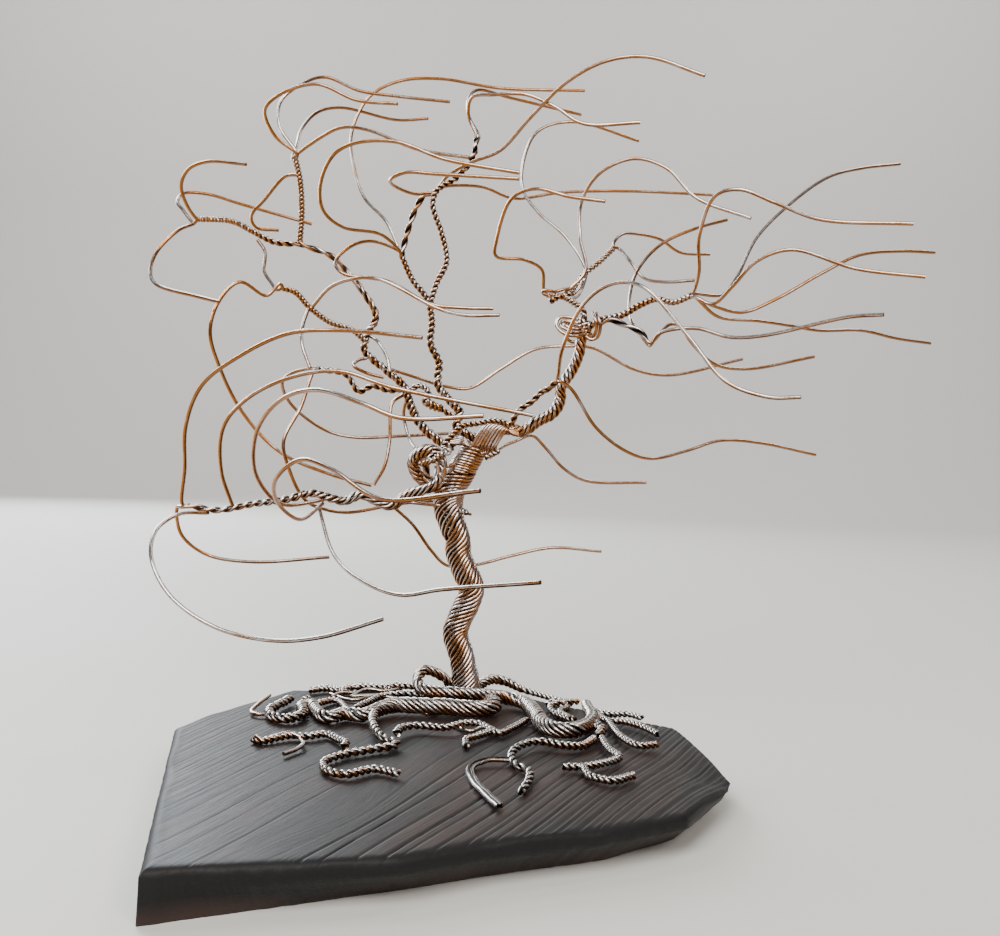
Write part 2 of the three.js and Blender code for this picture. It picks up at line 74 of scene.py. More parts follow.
def linear(code):
    """The linear colour of an sRGB hex code."""
    parts = [int(code[i : i + 2], 16) / 255 for i in (1, 3, 5)]
    return tuple(c / 12.92 if c <= 0.04045 else ((c + 0.055) / 1.055) ** 2.4 for c in parts)


# A bundle of strands: its diameters and tilts at places spaced evenly along it, and the route of
# its middle.
Bundle = namedtuple("Bundle", "diameters tilts route")

BOARD_MIDDLE = MM * np.array([0, -4])

# The outline of the board and of its foot, corner for corner, from the sharp near corner clockwise.
# These and the routes below are in millimetres.
BOARD_OUTLINE = [
    (-50, -82.5), (-75, 14), (-70, 30), (-53, 65), (12, 76), (46, 52), (68, 36), (75, -5),
    (72, -14), (57, -40), (37, -51.5), (12, -62), (-4, -71.5),
]
BOARD_FOOT = [
    (-50, -83), (-73, 14), (-68, 30), (-51, 63), (11, 73), (44, 49), (63, 33), (66, 4), (64, -14),
    (56, -28.5), (38, -43), (13, -54), (-4, -62.5),
]

# Bundles of strands: the diameters and the tilts at places spaced evenly along it, and the route.
# A positive tilt, in degrees from the length of the bundle, is a right-handed twist.
BUNDLES = {
    "trunk": ([10, 8.2, 8.2, 8.2, 8.2, 8.2, 9.6, 9.6, 8.2], [46, 48, 48, 52, 74], [
        (4, 56, 11), (4, 56, 16), (2.5, 56, 24), (0, 56, 32), (1, 56, 36), (4, 56, 43),
        (4.5, 56, 47), (2, 56, 52), (0, 56, 57), (-0.5, 56, 62), (-3, 56, 68), (-4, 56, 73),
        (-3.5, 56, 77), (0, 56, 84), (4.5, 56, 92),
    ]),
    "left_limb": ([3.4, 2], [48, 48, 44, 14, 14], [
        (-3, 56, 91), (-8, 57, 93), (-14, 57, 98), (-17, 58, 103), (-20, 58, 110), (-26, 59, 115),
        (-33, 59, 121), (-32, 60, 127), (-30, 61, 132), (-33, 61, 138), (-39, 62, 145),
        (-45, 62, 151), (-56, 63, 155),
    ]),
    "middle_limb": ([3.4, 2], [48, 48, 48, 40], [
        (5, 57, 93), (0.5, 57, 95.5), (-2.6, 57, 98.5), (-1.5, 57, 102), (-5, 58, 106),
        (-9, 59, 111), (-9, 60, 118), (-12, 61, 124), (-12, 62, 132), (-14, 63, 139),
        (-19, 64, 145), (-23, 65, 153),
    ]),
    "right_limb": ([4.08, 3.4], [-36, -44, -40, -36], [
        (10.5, 54.5, 97.2), (14.5, 54.3, 97.4), (19, 54, 97), (23, 53, 100), (28, 52, 103),
        (30, 52, 107), (30, 51, 111), (33, 51, 116), (35, 50, 121), (36, 50, 129),
    ]),
    "lower_branch": ([3.4, 4.2, 3.6, 3.2, 2.8, 2.2, 2], [-32, -40, -36, -28, -45, -32, -14], [
        (-4, 54, 78), (-8, 52, 78), (-13, 50, 81), (-15, 49, 85), (-13, 48, 88.5), (-9, 48, 89.5),
        (-6.5, 48, 86.5), (-6.5, 47, 82), (-9, 46, 78.5), (-16, 47, 75.5), (-21, 47, 72),
        (-25, 46, 73), (-30, 44, 75), (-35, 43, 73), (-40, 41, 74), (-45, 40, 75), (-51, 38, 73),
        (-62, 37, 71), (-71, 35, 69), (-80, 34, 70),
    ]),
    "trunk_top_twist": ([2], [45], [
        (-6.2, 49, 90.5), (-4.6, 49.5, 93), (-3.2, 50, 94.5), (-0.3, 51, 97.6), (4.4, 51.5, 98.7),
        (8.6, 52, 99.7), (12.2, 52, 99.5), (14.2, 52.5, 98.3),
    ]),
    "left_branch": ([2], [16, 55, 60], [
        (-56, 63, 155), (-64, 62, 155), (-71, 61, 158), (-78, 61, 161), (-89, 60, 161),
    ]),
    "left_upright_twig": ([2], [50], [
        (-56, 63, 155), (-56, 64, 166), (-57, 64, 176), (-59, 65, 183),
    ]),
    "left_hook_twig": ([2], [52], [
        (-33, 59, 124), (-37, 57, 127), (-44, 55, 129), (-50, 52, 133), (-54, 50, 137),
        (-58, 48, 138),
    ]),
    "inner_left_twig": ([2], [31], [
        (-19, 57, 109), (-24, 54, 108), (-29, 52, 109), (-33, 50, 107), (-37, 48, 112),
        (-45, 46, 113),
    ]),
    "middle_short_twig": ([2], [18], [
        (-23, 65, 153), (-22, 66, 159), (-20, 67, 167), (-17, 67, 173), (-14, 68, 175),
    ]),
    "middle_tall_twig": ([2], [44, 44, 40, 16], [
        (-13, 63, 137), (-11, 62, 144), (-8, 61, 151), (-10, 60, 160), (-13, 58, 168),
        (-12, 59, 173), (-6, 61, 178), (-1, 62, 185), (0, 64, 192),
    ]),
    "right_back_twig": ([2.72, 2], [-40, -58], [
        (36, 51, 129), (36, 55, 136), (33, 58, 139), (30, 61, 141), (25, 64, 142),
    ]),
    "right_fine_twig": ([2, 1.6], [40], [
        (31, 62, 141), (34, 66, 145), (37, 69, 150), (42, 73, 155), (48, 80, 162),
    ]),
    "right_outer_twig": ([2.72, 2], [-55, -50], [
        (36, 50, 129), (41, 49, 132), (48, 48, 134), (53, 47, 137), (58, 46, 139), (63, 45, 138),
        (68, 44, 140),
    ]),
    "right_lower_twig": ([2], [-12], [
        (41, 48, 131), (44, 47, 132), (49, 44, 130), (53, 42, 128), (55, 40, 125),
    ]),
    "right_open_twist": ([2], [31], [
        (15, 53, 99), (17, 50, 103), (21, 48, 106), (24, 46, 109), (26, 44, 110), (28, 42, 112),
    ]),
}

# Roots lie on the board or on each other. Each piece is one bundle and those that part from it.
ROOTS = {
    "root_front": [
        ([3.22, 3.91, 4.6, 4.6, 3.22], [35, 35, 38, 42, 40, 35, 40, 58, 64], [
            (0, 58, 14), (-4, 57, 18), (-9, 55, 20), (-11, 52, 18), (-10, 49, 16), (-6, 46, 15.5),
            (0, 45, 15.5), (8, 46, 15), (17, 51, 13.2), (22, 49, 12.7), (25.7, 34, 12.7),
            (27.5, 22, 12.7), (31, 17, 12.7), (35, 17, 12.7), (39, 21.5, 12.7), (42.3, 32, 12.7),
            (42, 44, 12.7), (42, 51, 12.5),
        ]),
        ([3.22, 2.53], [50], [(42, 27, 12.5), (44, 21, 12.3), (42, 15, 12)]),
    ],
    "root_left": [
        ([5.06, 5.06, 3.91, 2.99, 2.76], [35, 35, 42, 45], [
            (8, 51, 13), (13, 44, 13), (12, 38, 13), (7, 36, 13), (0, 37, 13), (-9, 37, 13),
            (-16, 37, 12.9), (-20, 33, 12.6), (-24, 26, 12.3), (-30, 27, 12.2), (-33, 23, 12),
            (-36, 25, 11.8), (-39, 31, 12), (-42, 38, 12), (-44, 35, 12), (-42, 28, 11.8),
            (-43, 23, 11.7), (-46, 21, 11.6), (-50, 23, 11.6), (-52, 29, 11.8), (-50, 38, 12),
            (-49, 44, 12),
        ]),
    ],
    "root_left_back": [
        ([2.4, 2], [40, 45], [
            (-5, 59, 13), (-14, 67, 12), (-19, 68, 11.8), (-23, 66, 11.6), (-33, 64, 11.6),
            (-37, 60, 11.4), (-41, 61, 11.4), (-46, 59, 11.3),
        ]),
    ],
    "root_left_middle": [
        ([2.4, 2], [40, 40], [
            (-6, 54, 12.5), (-15, 58, 11.6), (-22, 54, 11.5), (-25, 46, 11.5), (-28, 37, 11.5),
        ]),
    ],
    "root_near_left": [
        ([2.76, 1.8], [35, 42], [
            (-21, 29, 13), (-21, 20, 12.8), (-19, 11, 12.3), (-16, 4, 12), (-12, 0, 11.6),
            (-18, -5, 11.3), (-24, -10, 11.3), (-28, -17, 11.3), (-26, -24, 11.3), (-21, -26, 11.3),
            (-15, -21, 11.3), (-9, -24, 11.3),
        ]),
    ],
    "root_near_left_fork": [
        ([2, 1], [40, 45], [
            (-25, -6, 12), (-25, -2, 12), (-28, 3, 11.5), (-32, 8, 11.3), (-36, 5, 11.3),
            (-41, 5, 11.3), (-47, 0, 11), (-50, 1, 11),
        ]),
    ],
    "root_middle": [
        ([2.4, 1.6], [40, 45], [
            (-13, 8, 12.2), (-12, 14, 12.2), (-8, 18, 12), (0, 17, 12), (5, 22, 12.2), (9, 23, 12),
            (13, 18, 11.5), (15, 16, 11.3), (18, 21, 11.3), (23, 32, 11.3),
        ]),
        ([1.6, 1], [45], [(13, 18, 11.5), (9, 12, 11.4), (6, 8, 11.4), (6, 3, 11)]),
    ],
    "root_back_right": [
        ([3.68, 3.22, 2, 2], [40, 45], [
            (8, 60, 14.5), (12, 64, 16), (17, 66, 15), (22, 65, 13.2), (27, 62, 12.4),
            (33, 58, 11.8), (38, 54, 11.6),
        ]),
    ],
    "root_right_loop": [
        ([2], [40], [(40, 55, 12), (34, 51, 12.5), (31, 48, 12), (31, 43, 11.6), (36, 34, 11.6)]),
    ],
    "root_right_fan": [
        ([2, 1.8], [45], [(44, 44, 12), (48, 42, 11.7), (55, 43, 11.5), (58, 40, 11.4)]),
        ([2.2, 1.6], [50, 45], [
            (44, 43, 12), (47, 34, 11.7), (52, 33, 11.8), (57, 28, 11.6), (60, 22, 11.4),
        ]),
        ([2], [45], [
            (47, 34, 11.7), (48, 24, 11.5), (49, 17, 11.5), (53, 9, 11.4), (58, 11, 11.4),
        ]),
    ],
    "root_near_right": [
        ([2.53, 1.6], [60, 28, 25], [
            (41, 12, 12), (37, 6, 11.5), (32, 5, 11.8), (26, 7, 12), (21, 3, 12), (18, -5, 11.6),
            (19, -13, 11.3), (22, -17, 11.3), (22, -24, 11.2), (20, -33, 11),
        ]),
        ([1], [0], [
            (18, -9, 11.3), (12, -10, 11.4), (8, -15, 11), (9, -26, 11), (12, -35, 11),
            (15, -43, 11),
        ]),
    ],
    "root_near_right_fork": [
        ([2, 1.6], [45], [
            (43, 13, 12), (44, 4, 11.6), (46, -3, 11.5), (41, -9, 11.4), (36, -12, 11.3),
            (31, -13, 11.3),
        ]),
        ([1.6], [45], [(36, -12, 11.3), (37, -19, 11.2), (42, -22, 11.2), (48, -17, 11.2)]),
    ],
}

# Single wires that leave the end of a twig, loop out against the wind and stream back with it.
WIRES = {
    "left_top_wire_1": [
        (-59, 65, 183), (-65, 67, 194), (-66, 71, 204), (-60, 74, 211), (-53, 80, 216),
        (-42, 83, 213), (-28, 87, 213), (-11, 90, 213),
    ],
    "left_top_wire_2": [
        (-59, 64, 182), (-65, 61, 189), (-68, 58, 196), (-64, 56, 200), (-51, 52, 203),
        (-37, 48, 197), (-24, 44, 195),
    ],
    "left_top_wire_3": [
        (-57, 64, 183), (-50, 60, 189), (-43, 56, 191), (-34, 51, 189), (-17, 43, 181),
        (-1, 36, 177),
    ],
    "left_top_wire_4": [
        (-58, 65, 178), (-63, 68, 178), (-70, 71, 171), (-75, 74, 166), (-74, 77, 163),
        (-67, 80, 163),
    ],
    "left_wire_1": [
        (-89, 60, 162), (-95, 64, 165), (-97.7, 67, 168), (-97, 71, 172), (-90, 75, 173),
        (-80, 78, 171), (-57, 86, 167),
    ],
    "left_wire_2": [
        (-89, 60, 160), (-93, 55, 156), (-97.7, 50, 148), (-97.7, 45, 141), (-94, 40, 136),
        (-80, 34, 132), (-72, 30, 130),
    ],
    "left_hook_wire": [
        (-58, 48, 138), (-62, 46, 135), (-69, 41, 138), (-74, 38, 132), (-76, 36, 122),
        (-73, 38, 111), (-66, 40, 98), (-55, 42, 87), (-40, 43, 81), (-27, 44, 78),
    ],
    "inner_left_wire": [
        (-45, 45, 112), (-49, 41, 101), (-53, 37, 90), (-51, 37, 82), (-47, 42, 73), (-42, 48, 70),
        (-35, 54, 69), (-20, 63, 72), (-8, 68, 73), (3, 73, 69),
    ],
    "left_limb_wire": [
        (-24, 57, 115), (-16, 61, 113), (-7, 66, 111), (1, 69, 111), (11, 71, 118), (22, 72, 125),
        (34, 75, 127), (42, 78, 127), (57, 84, 121), (70, 89, 120), (98, 100, 128),
    ],
    "middle_wire_1": [
        (-24, 65, 154), (-29, 58, 158), (-40, 50, 158), (-45, 43, 161), (-45, 36, 167),
        (-41, 31, 174), (-35, 28, 177), (-22, 24, 177), (-7, 19, 171), (14, 12, 166),
    ],
    "middle_wire_2": [
        (-23, 66, 155), (-29, 71, 165), (-38, 78, 175), (-43, 84, 188), (-45, 90, 201),
        (-40, 94, 215), (-30, 99, 223), (-16, 103, 226), (6, 107, 225), (38, 116, 228.8),
    ],
    "middle_wire_3": [
        (-14, 68, 175), (-9, 63, 179), (-2, 58, 182), (8, 53, 185), (17, 48, 194), (27, 43, 203),
        (38, 38, 208), (50, 33, 208), (66, 25, 200),
    ],
    "right_back_wire_1": [
        (30, 62, 142), (37, 63, 150), (35, 64, 161), (35, 65, 173), (40, 60, 181), (50, 56, 185),
        (60, 51, 181), (69, 47, 171), (84, 38, 163),
    ],
    "right_back_wire_2": [
        (33, 60, 140), (36, 68, 144), (38, 75, 153), (31, 80, 165), (22, 86, 174), (16, 92, 184),
        (16, 96, 196), (21, 101, 208), (34, 105, 213), (59, 114, 210),
    ],
    "right_outer_wire_1": [
        (67, 43, 140), (69, 37, 146), (67, 28, 155), (70, 23, 165), (76, 19, 166), (85, 16, 162),
        (97, 13, 157), (120, 6, 155),
    ],
    "right_outer_wire_2": [
        (68, 45, 140), (79, 51, 142), (85, 58, 149), (93, 66, 164), (106, 74, 178), (121, 83, 190),
        (135, 91, 196), (152, 100, 201),
    ],
    "right_outer_wire_3": [
        (67, 43, 138), (74, 39, 137), (79, 36, 142), (85, 33, 149), (94, 29, 152), (111, 23, 146),
        (128, 16, 143),
    ],
    "right_outer_wire_4": [
        (68, 44, 139), (76, 48, 138), (86, 52, 137), (97, 55, 142), (113, 59, 152), (126, 63, 159),
        (141, 68, 162), (154, 72, 163),
    ],
    "right_lower_wire_1": [
        (55, 39, 125), (58, 34, 127), (67, 29, 128), (76, 23, 125), (84, 17, 125), (103, 4, 129),
        (110, -2, 129),
    ],
    "right_lower_wire_2": [
        (54, 41, 126), (51, 48, 132), (51, 57, 141), (54, 63, 151), (62, 69, 161), (74, 74, 168),
        (86, 80, 173),
    ],
    "right_open_wire": [
        (27, 42, 111), (29, 34, 121), (34, 27, 133), (41, 20, 138), (49, 11, 136), (61, 5, 122),
        (70, -1, 110), (80, -6, 106), (87, -10, 106),
    ],
    "right_low_wire": [
        (8.5, 59, 88), (12, 61, 91.5), (17, 62, 94), (22, 65, 96), (27, 69, 92), (33, 73, 86),
        (41, 77, 82), (63, 86, 82),
    ],
    "lower_wire_1": [
        (-79, 34, 70), (-79, 27, 81), (-77, 20, 93), (-71, 13, 104), (-59, 6, 112), (-45, 1, 118),
        (-31, -2, 119), (-9, -10, 117),
    ],
    "lower_wire_2": [
        (-67, 36, 70), (-69, 29, 81), (-67, 22, 93), (-59, 15, 101), (-46, 9, 107), (-32, 5, 109),
        (-17, 2, 105), (20, -2, 99),
    ],
    "lower_wire_3": [
        (-41, 40, 73), (-50, 25, 72), (-54, 10, 80), (-51, -5, 91), (-42, -20, 99), (-30, -34, 101),
        (-19, -41, 98), (-10, -44, 95), (8, -48, 96),
    ],
    "lower_wire_4": [
        (-41, 40, 72), (-44, 22, 68), (-47, 6, 73), (-44, -11, 80), (-36, -21, 85), (-27, -29, 83),
        (-15, -36, 77), (8, -50, 80),
    ],
    "lower_wire_5": [
        (-74, 35, 68), (-79, 24, 68), (-82, 14, 64), (-80, 5, 57), (-73, 0, 48), (-60, -4, 41),
        (-44, -9, 39), (-31, -13, 41), (-15, -18, 47),
    ],
    "lower_wire_6": [
        (-42, 39, 71), (-34, 20, 59), (-24, 3, 54), (-12, -10, 52), (-1, -20, 55), (22, -40, 60),
    ],
    "lower_wire_7": [
        (-21, 48, 72), (-15, 55, 66), (-9, 63, 57), (-4, 69, 52), (5, 75, 52), (17, 81, 55),
        (31, 86, 58), (49, 92, 57),
    ],
}

# Wires that run on out of a bundle, as one piece with it.
RUN_ON = {
    "left_limb": [
        [(-32, 60, 126), (-28, 55, 123), (-25, 54, 118), (-24, 53, 114)],
        [(-20, 58, 107), (-23, 55, 104), (-23, 52, 92), (-24, 50, 84), (-27, 49, 78)],
    ],
    "middle_limb": [
        [
            (-23, 65, 152), (-32, 59, 156), (-38, 54, 153), (-42, 50, 147), (-39, 47, 143),
            (-25, 46, 141), (-11, 43, 134), (-2, 41, 133), (8, 40, 133),
        ],
    ],
    "lower_branch": [
        [(-80, 34, 69), (-84, 37, 69), (-83, 39, 61), (-76, 42, 55), (-63, 45, 53), (-40, 50, 55)],
    ],
    "left_branch": [
        [
            (-88, 60, 161), (-92, 57, 166), (-92, 53, 170), (-89, 50, 174), (-83, 48, 176),
            (-69, 42, 174),
        ],
    ],
    "left_upright_twig": [
        [
            (-59, 65, 182), (-60, 71, 190), (-60, 77, 197), (-56, 83, 205), (-49, 89, 209),
            (-31, 102, 210), (-20, 108, 213),
        ],
    ],
    "left_hook_twig": [
        [(-50, 52, 133), (-51, 48, 126), (-50, 44, 120), (-47, 42, 113)],
        [(-57, 49, 138), (-62, 51, 140), (-65, 54, 144), (-66, 58, 151), (-69, 60, 155)],
        [
            (-49, 52, 133), (-43, 46, 138), (-37, 42, 140), (-27, 37, 140), (-8, 32, 131),
            (0, 29, 129), (10, 26, 129),
        ],
    ],
    "inner_left_twig": [
        [
            (-45, 47, 113), (-53, 48, 112), (-57, 50, 109), (-55, 52, 103), (-45, 59, 95),
            (-36, 62, 93), (-22, 66, 94), (-3, 70, 96),
        ],
    ],
    "middle_short_twig": [
        [
            (-15, 68, 173), (-19, 60, 172), (-25, 51, 172), (-25, 44, 172), (-20, 40, 173),
            (-11, 37, 172), (14, 28, 169),
        ],
        [
            (-15, 68, 174), (-9, 74, 179), (2, 81, 181), (13, 90, 180), (30, 98, 185),
            (55, 107, 189), (89, 118, 192),
        ],
    ],
    "middle_tall_twig": [
        [(0, 64, 190), (-3, 71, 201), (-4, 77, 209), (-1, 83, 215), (10, 89, 215), (36, 100, 214)],
        [
            (0, 64, 192), (-3, 64, 199), (-2, 58, 203), (5, 52, 202), (15, 48, 201), (24, 46, 197),
            (33, 43, 191), (50, 40, 191),
        ],
    ],
    "right_back_twig": [
        [
            (26, 63, 142), (23, 60, 149), (17, 54, 151), (8, 50, 151), (8, 46, 155), (12, 39, 166),
            (19, 34, 168), (29, 30, 165), (39, 26, 163),
        ],
    ],
    "right_fine_twig": [
        [
            (47, 79, 161), (51, 86, 168), (57, 93, 170), (66, 99, 170), (75, 106, 167),
            (87, 112, 168),
        ],
        [(47, 79, 161), (53, 74, 156), (57, 70, 150), (63, 65, 148), (72, 60, 148)],
    ],
    "right_outer_twig": [
        [
            (66, 44, 139), (78, 50, 135), (92, 55, 135), (104, 62, 135), (116, 70, 135),
            (133, 79, 137), (148, 87, 136), (164, 96, 136),
        ],
    ],
    "right_lower_twig": [
        [
            (55, 40, 126), (62, 44, 131), (66, 47, 131), (70, 51, 127), (78, 55, 121),
            (89, 59, 120), (114, 68, 126),
        ],
    ],
    "right_open_twist": [
        [
            (28, 42, 112), (33, 45, 110), (41, 48, 99), (51, 51, 92), (60, 56, 90), (72, 62, 93),
            (84, 67, 97), (99, 73, 97), (119, 78, 94),
        ],
    ],
}

# Short twists that hold the limbs and the roots together, or are what is left of cut wires.
SMALL_TWISTS = {
    "crown_twists": [
        ([2.1], [42], [
            (-19, 56, 109), (-17.5, 56, 108.5), (-16, 55, 109.5), (-14.5, 55, 110),
            (-13, 54, 109.5), (-11.5, 53, 108), (-11.5, 52, 106.5), (-12.5, 51, 105),
            (-11.5, 52, 104), (-9.5, 53, 103.5), (-7.5, 54, 103), (-5, 55, 101.5),
            (-2.5, 56, 100.5),
        ]),
        ([2.9, 3.2, 2.9], [66], [
            (-12.5, 51, 105), (-11.5, 52, 104.5), (-9.5, 53, 103.5), (-7.5, 54, 103),
        ]),
        ([2.1], [50], [
            (7.28, 52, 88.1), (9.05, 51.5, 89.08), (10.24, 51, 89.6), (11.41, 51, 90.37),
        ]),
        ([2], [50], [(-0.5, 55, 71), (1, 52, 71), (2.5, 51, 70.5)]),
        ([4.6], [78], [(37, 51, 127.2), (36.8, 51, 129.5), (36.5, 51, 131.8)]),
        ([2], [45], [
            (33, 62, 142.5), (31, 61, 141.5), (29, 60, 141), (27.5, 59, 140), (26, 59, 139),
        ]),
    ],
    "root_twists": [
        ([1.9], [45], [
            (-44.9, 37.8, 11.5), (-43.1, 38.6, 13.5), (-41.4, 38.4, 11.5), (-39.6, 41.3, 11.5),
            (-36, 47.2, 11.2), (-32.6, 41.2, 11.2), (-29.8, 33, 11.2),
        ]),
        ([2], [50], [(-45.7, 57.8, 11.2), (-40.8, 62.8, 11.6), (-34.6, 58.5, 11.2)]),
        ([2], [40], [(-32.7, 63.2, 11.2), (-27.9, 68.6, 11.2), (-20.8, 64, 11.2)]),
        ([1.9], [45], [
            (29.8, 51, 11.5), (33.2, 51.9, 13), (36.1, 50.8, 11.5), (33.4, 42.6, 11.5),
            (35.4, 36.9, 11.5), (37.3, 33.6, 11.5),
        ]),
    ],
    "knot_strands": [
        ([2.5], [-22], [
            (-7.23, 47, 88.33), (-5.77, 47, 86.02), (-6.09, 47, 82.43), (-8.41, 47.5, 80.25),
            (-10.53, 47, 81.95), (-10.63, 46.5, 85.22), (-9.53, 46.5, 87.34), (-7.8, 47, 87.71),
        ]),
        ([2.1], [-50], [
            (-4.2, 45, 89.2), (-6.5, 44.5, 88.2), (-8.3, 44.5, 86.6), (-10.2, 45, 85.9),
            (-12.7, 46, 85.2),
        ]),
    ],
}

# Single stray wires, short and long.
STRAYS = {
    "stray_wires": [
        [(-32, 56, 118), (-34, 53, 117), (-35, 50, 115), (-31, 52, 113), (-26, 54, 112)],
        [(-19, 60, 106), (-20, 63, 101), (-18, 61, 94), (-15, 54, 90)],
    ],
    "crown_wires": [
        [(-8, 47, 84.5), (-5.5, 49, 84.5), (-2, 53, 85.5)],
        [(-18.5, 46, 73.5), (-13, 48, 73), (-8, 52, 72.5), (-4.5, 53, 72.5)],
        [(-6.5, 47, 89), (-5.5, 46, 90), (-4, 45, 90), (-3.5, 45, 89), (-4.5, 45, 88.5)],
        [
            (-5.74, 46.5, 88.98), (-4.86, 46, 85.46), (-5.98, 46, 81.26), (-8.9, 46.5, 79.35),
            (-11.39, 47, 81.02),
        ],
        [
            (-12.16, 46.5, 86.34), (-10.04, 45.5, 86.89), (-7.6, 45, 85.93), (-6.92, 45.5, 83),
            (-8.04, 46, 80.88),
        ],
        [
            (37, 50, 129), (34, 48, 128), (31.5, 48, 128.5), (29, 49, 130), (29.5, 50, 131.5),
            (32, 50, 131.5), (34.5, 49, 131),
        ],
        [
            (37, 49, 127.8), (34, 47, 126.8), (30.5, 47.2, 127.2), (27.8, 49, 129.8),
            (28.5, 50, 132.5), (32, 50, 132.8), (34.5, 49, 132.2),
        ],
        [
            (37, 51, 130), (34, 49, 129.2), (32, 49.2, 129.5), (30.5, 50, 130.3),
            (30.5, 50.5, 130.8), (32, 50.8, 130.6), (34.5, 50.5, 130),
        ],
        [
            (39, 49, 134.5), (39.5, 47, 132), (40, 47, 129.5), (39.5, 48, 127.5), (38.5, 49, 127),
            (38, 49, 128),
        ],
        [
            (40, 49.2, 134.5), (40.8, 47.5, 132), (41.2, 47.4, 129.5), (40.5, 48, 126.8),
            (38.5, 48.5, 126), (37, 49, 127),
        ],
        [(33.5, 48, 128), (31.5, 47, 127.5), (31, 47, 126), (32.5, 48, 125), (33.5, 48, 125)],
        [
            (34, 63, 145.5), (32, 62, 144), (30, 61, 143.5), (27.5, 60, 142.5), (25.5, 59, 142.5),
            (23.5, 59, 142.5), (23.5, 59, 141.5), (25, 59, 141), (25.5, 59, 140.5),
        ],
        [(33, 63, 142), (34.5, 64, 143.5), (36, 65, 146), (36.5, 66, 147.5)],
    ],
    "root_wires": [
        [(-36.2, 68.8, 10.8), (-30.7, 69.2, 11.6), (-24.2, 65.1, 10.8), (-12.1, 57.3, 10.8)],
        [(-32.3, 53.6, 10.8), (-27.8, 62.3, 11.6), (-22.2, 62.2, 11.2), (-14.5, 74.5, 10.8)],
        [(-39.1, 56.6, 10.8), (-31.1, 49.8, 10.8), (-23.5, 54, 11.4), (-16.5, 53.8, 10.8)],
        [
            (-20.4, 69.7, 9.9), (-19.8, 69.7, 11.6), (-18.8, 69.7, 12.7), (-17.8, 69.7, 11.7),
            (-17.7, 69.7, 10),
        ],
        [(-17.2, 36.8, 10.8), (-11.9, 37.3, 11.8), (-6.4, 36.2, 10.8), (-3.1, 45.6, 10.8)],
        [(1.3, 25.8, 10.8), (6.7, 19, 10.8), (11.1, 22.1, 11.6), (15.1, 18.2, 10.8)],
        [
            (-51.6, 27.7, 11), (-55.5, 27.1, 11), (-57.7, 30.2, 11), (-56.8, 34.8, 12),
            (-55.1, 42.5, 13),
        ],
        [(-32.4, 58.3, 11), (-35.8, 55.9, 11.4), (-37.7, 51.8, 11)],
        [(-12.1, 65, 11), (-18.5, 58.1, 11), (-24.8, 56.9, 11), (-31.7, 54.2, 11)],
        [
            (-38, 4.3, 11.2), (-41, 4.9, 12), (-44.6, 2.8, 11.6), (-47.1, 0, 11.2),
            (-49.1, -0.3, 12.5),
        ],
        [(-38, 3.1, 11), (-36, -2.9, 11.4), (-36.9, -6.2, 11), (-39.2, -11, 11)],
    ],
}

# Strands that lie side by side: how many, and the lines across them, from the first strand's
# place to the last's, that they pass one after another.
FANS = {
    "crown_strands": [
        (8, [
            ((1.4, 54.5, 88.8), (9.9, 57, 89.2)),
            ((2.8, 52.4, 91.4), (10.2, 53.2, 91.3)),
            ((4.7, 51.8, 95.2), (11.6, 52.4, 94.5)),
            ((7.7, 52.2, 98.8), (13.6, 52, 97)),
            ((12.2, 53.4, 99.4), (15.2, 52, 96)),
            ((17.2, 53.6, 98.1), (17.3, 52.4, 95.4)),
        ]),
        (5, [
            ((4.8, 53, 88.9), (7.2, 54, 89.6)),
            ((2, 52.6, 91.5), (2.8, 54, 92.2)),
            ((-0.5, 53.5, 92), (-0.3, 54.5, 94.1)),
            ((-4.2, 54.5, 92.2), (-4.1, 56, 94.6)),
        ]),
        (6, [
            ((10.2, 59, 89.8), (4, 60.5, 89.6)),
            ((10.7, 59.5, 93), (4.5, 60.6, 92.7)),
            ((12.4, 59, 96.1), (6.8, 60, 96.5)),
            ((14.2, 57.5, 98), (11.1, 58, 98.8)),
            ((17.3, 56.6, 95.6), (17.2, 57.2, 98.1)),
        ]),
        (4, [
            ((5.2, 60, 89.6), (7, 59.5, 91.6)),
            ((2.6, 60, 93.9), (4.4, 59.6, 95.2)),
            ((-0.5, 59, 94.6), (0.7, 59, 95.6)),
            ((-3.7, 58, 97.3), (-2.2, 58, 97.9)),
        ]),
    ],
}

GRAIN_ANGLE = math.radians(24)  # the board's grain, from +Y towards +X
ALONG_GRAIN = np.array([math.sin(GRAIN_ANGLE), math.cos(GRAIN_ANGLE)])
ACROSS_GRAIN = np.array([math.cos(GRAIN_ANGLE), -math.sin(GRAIN_ANGLE)])

# Across the board, from its left side to its right: place, width of a yearly ring there, angle of
# the rings' lines from +Y, and depth and half width of the groove that follows each ring.
RINGS = np.array([
    (-0.077, 0.0014, 14, 0.00006, 0.00030),
    (-0.055, 0.0017, 15, 0.00008, 0.00030),
    (-0.040, 0.0023, 17, 0.00008, 0.00030),
    (-0.030, 0.0050, 19, 0.00010, 0.00030),
    (-0.012, 0.0100, 21, 0.00010, 0.00035),
    (0.004, 0.0080, 23, 0.00014, 0.00040),
    (0.011, 0.0056, 24, 0.00038, 0.00040),
    (0.022, 0.0045, 25, 0.00042, 0.00042),
    (0.033, 0.0032, 26, 0.00042, 0.00042),
    (0.041, 0.0020, 27, 0.00040, 0.00045),
    (0.050, 0.0017, 28, 0.00042, 0.00050),
    (0.072, 0.0017, 29, 0.00042, 0.00050),
])

LEAST_RADIUS = 0.45  # of a bundle, to its strands' middles, as a share of the wire's diameter
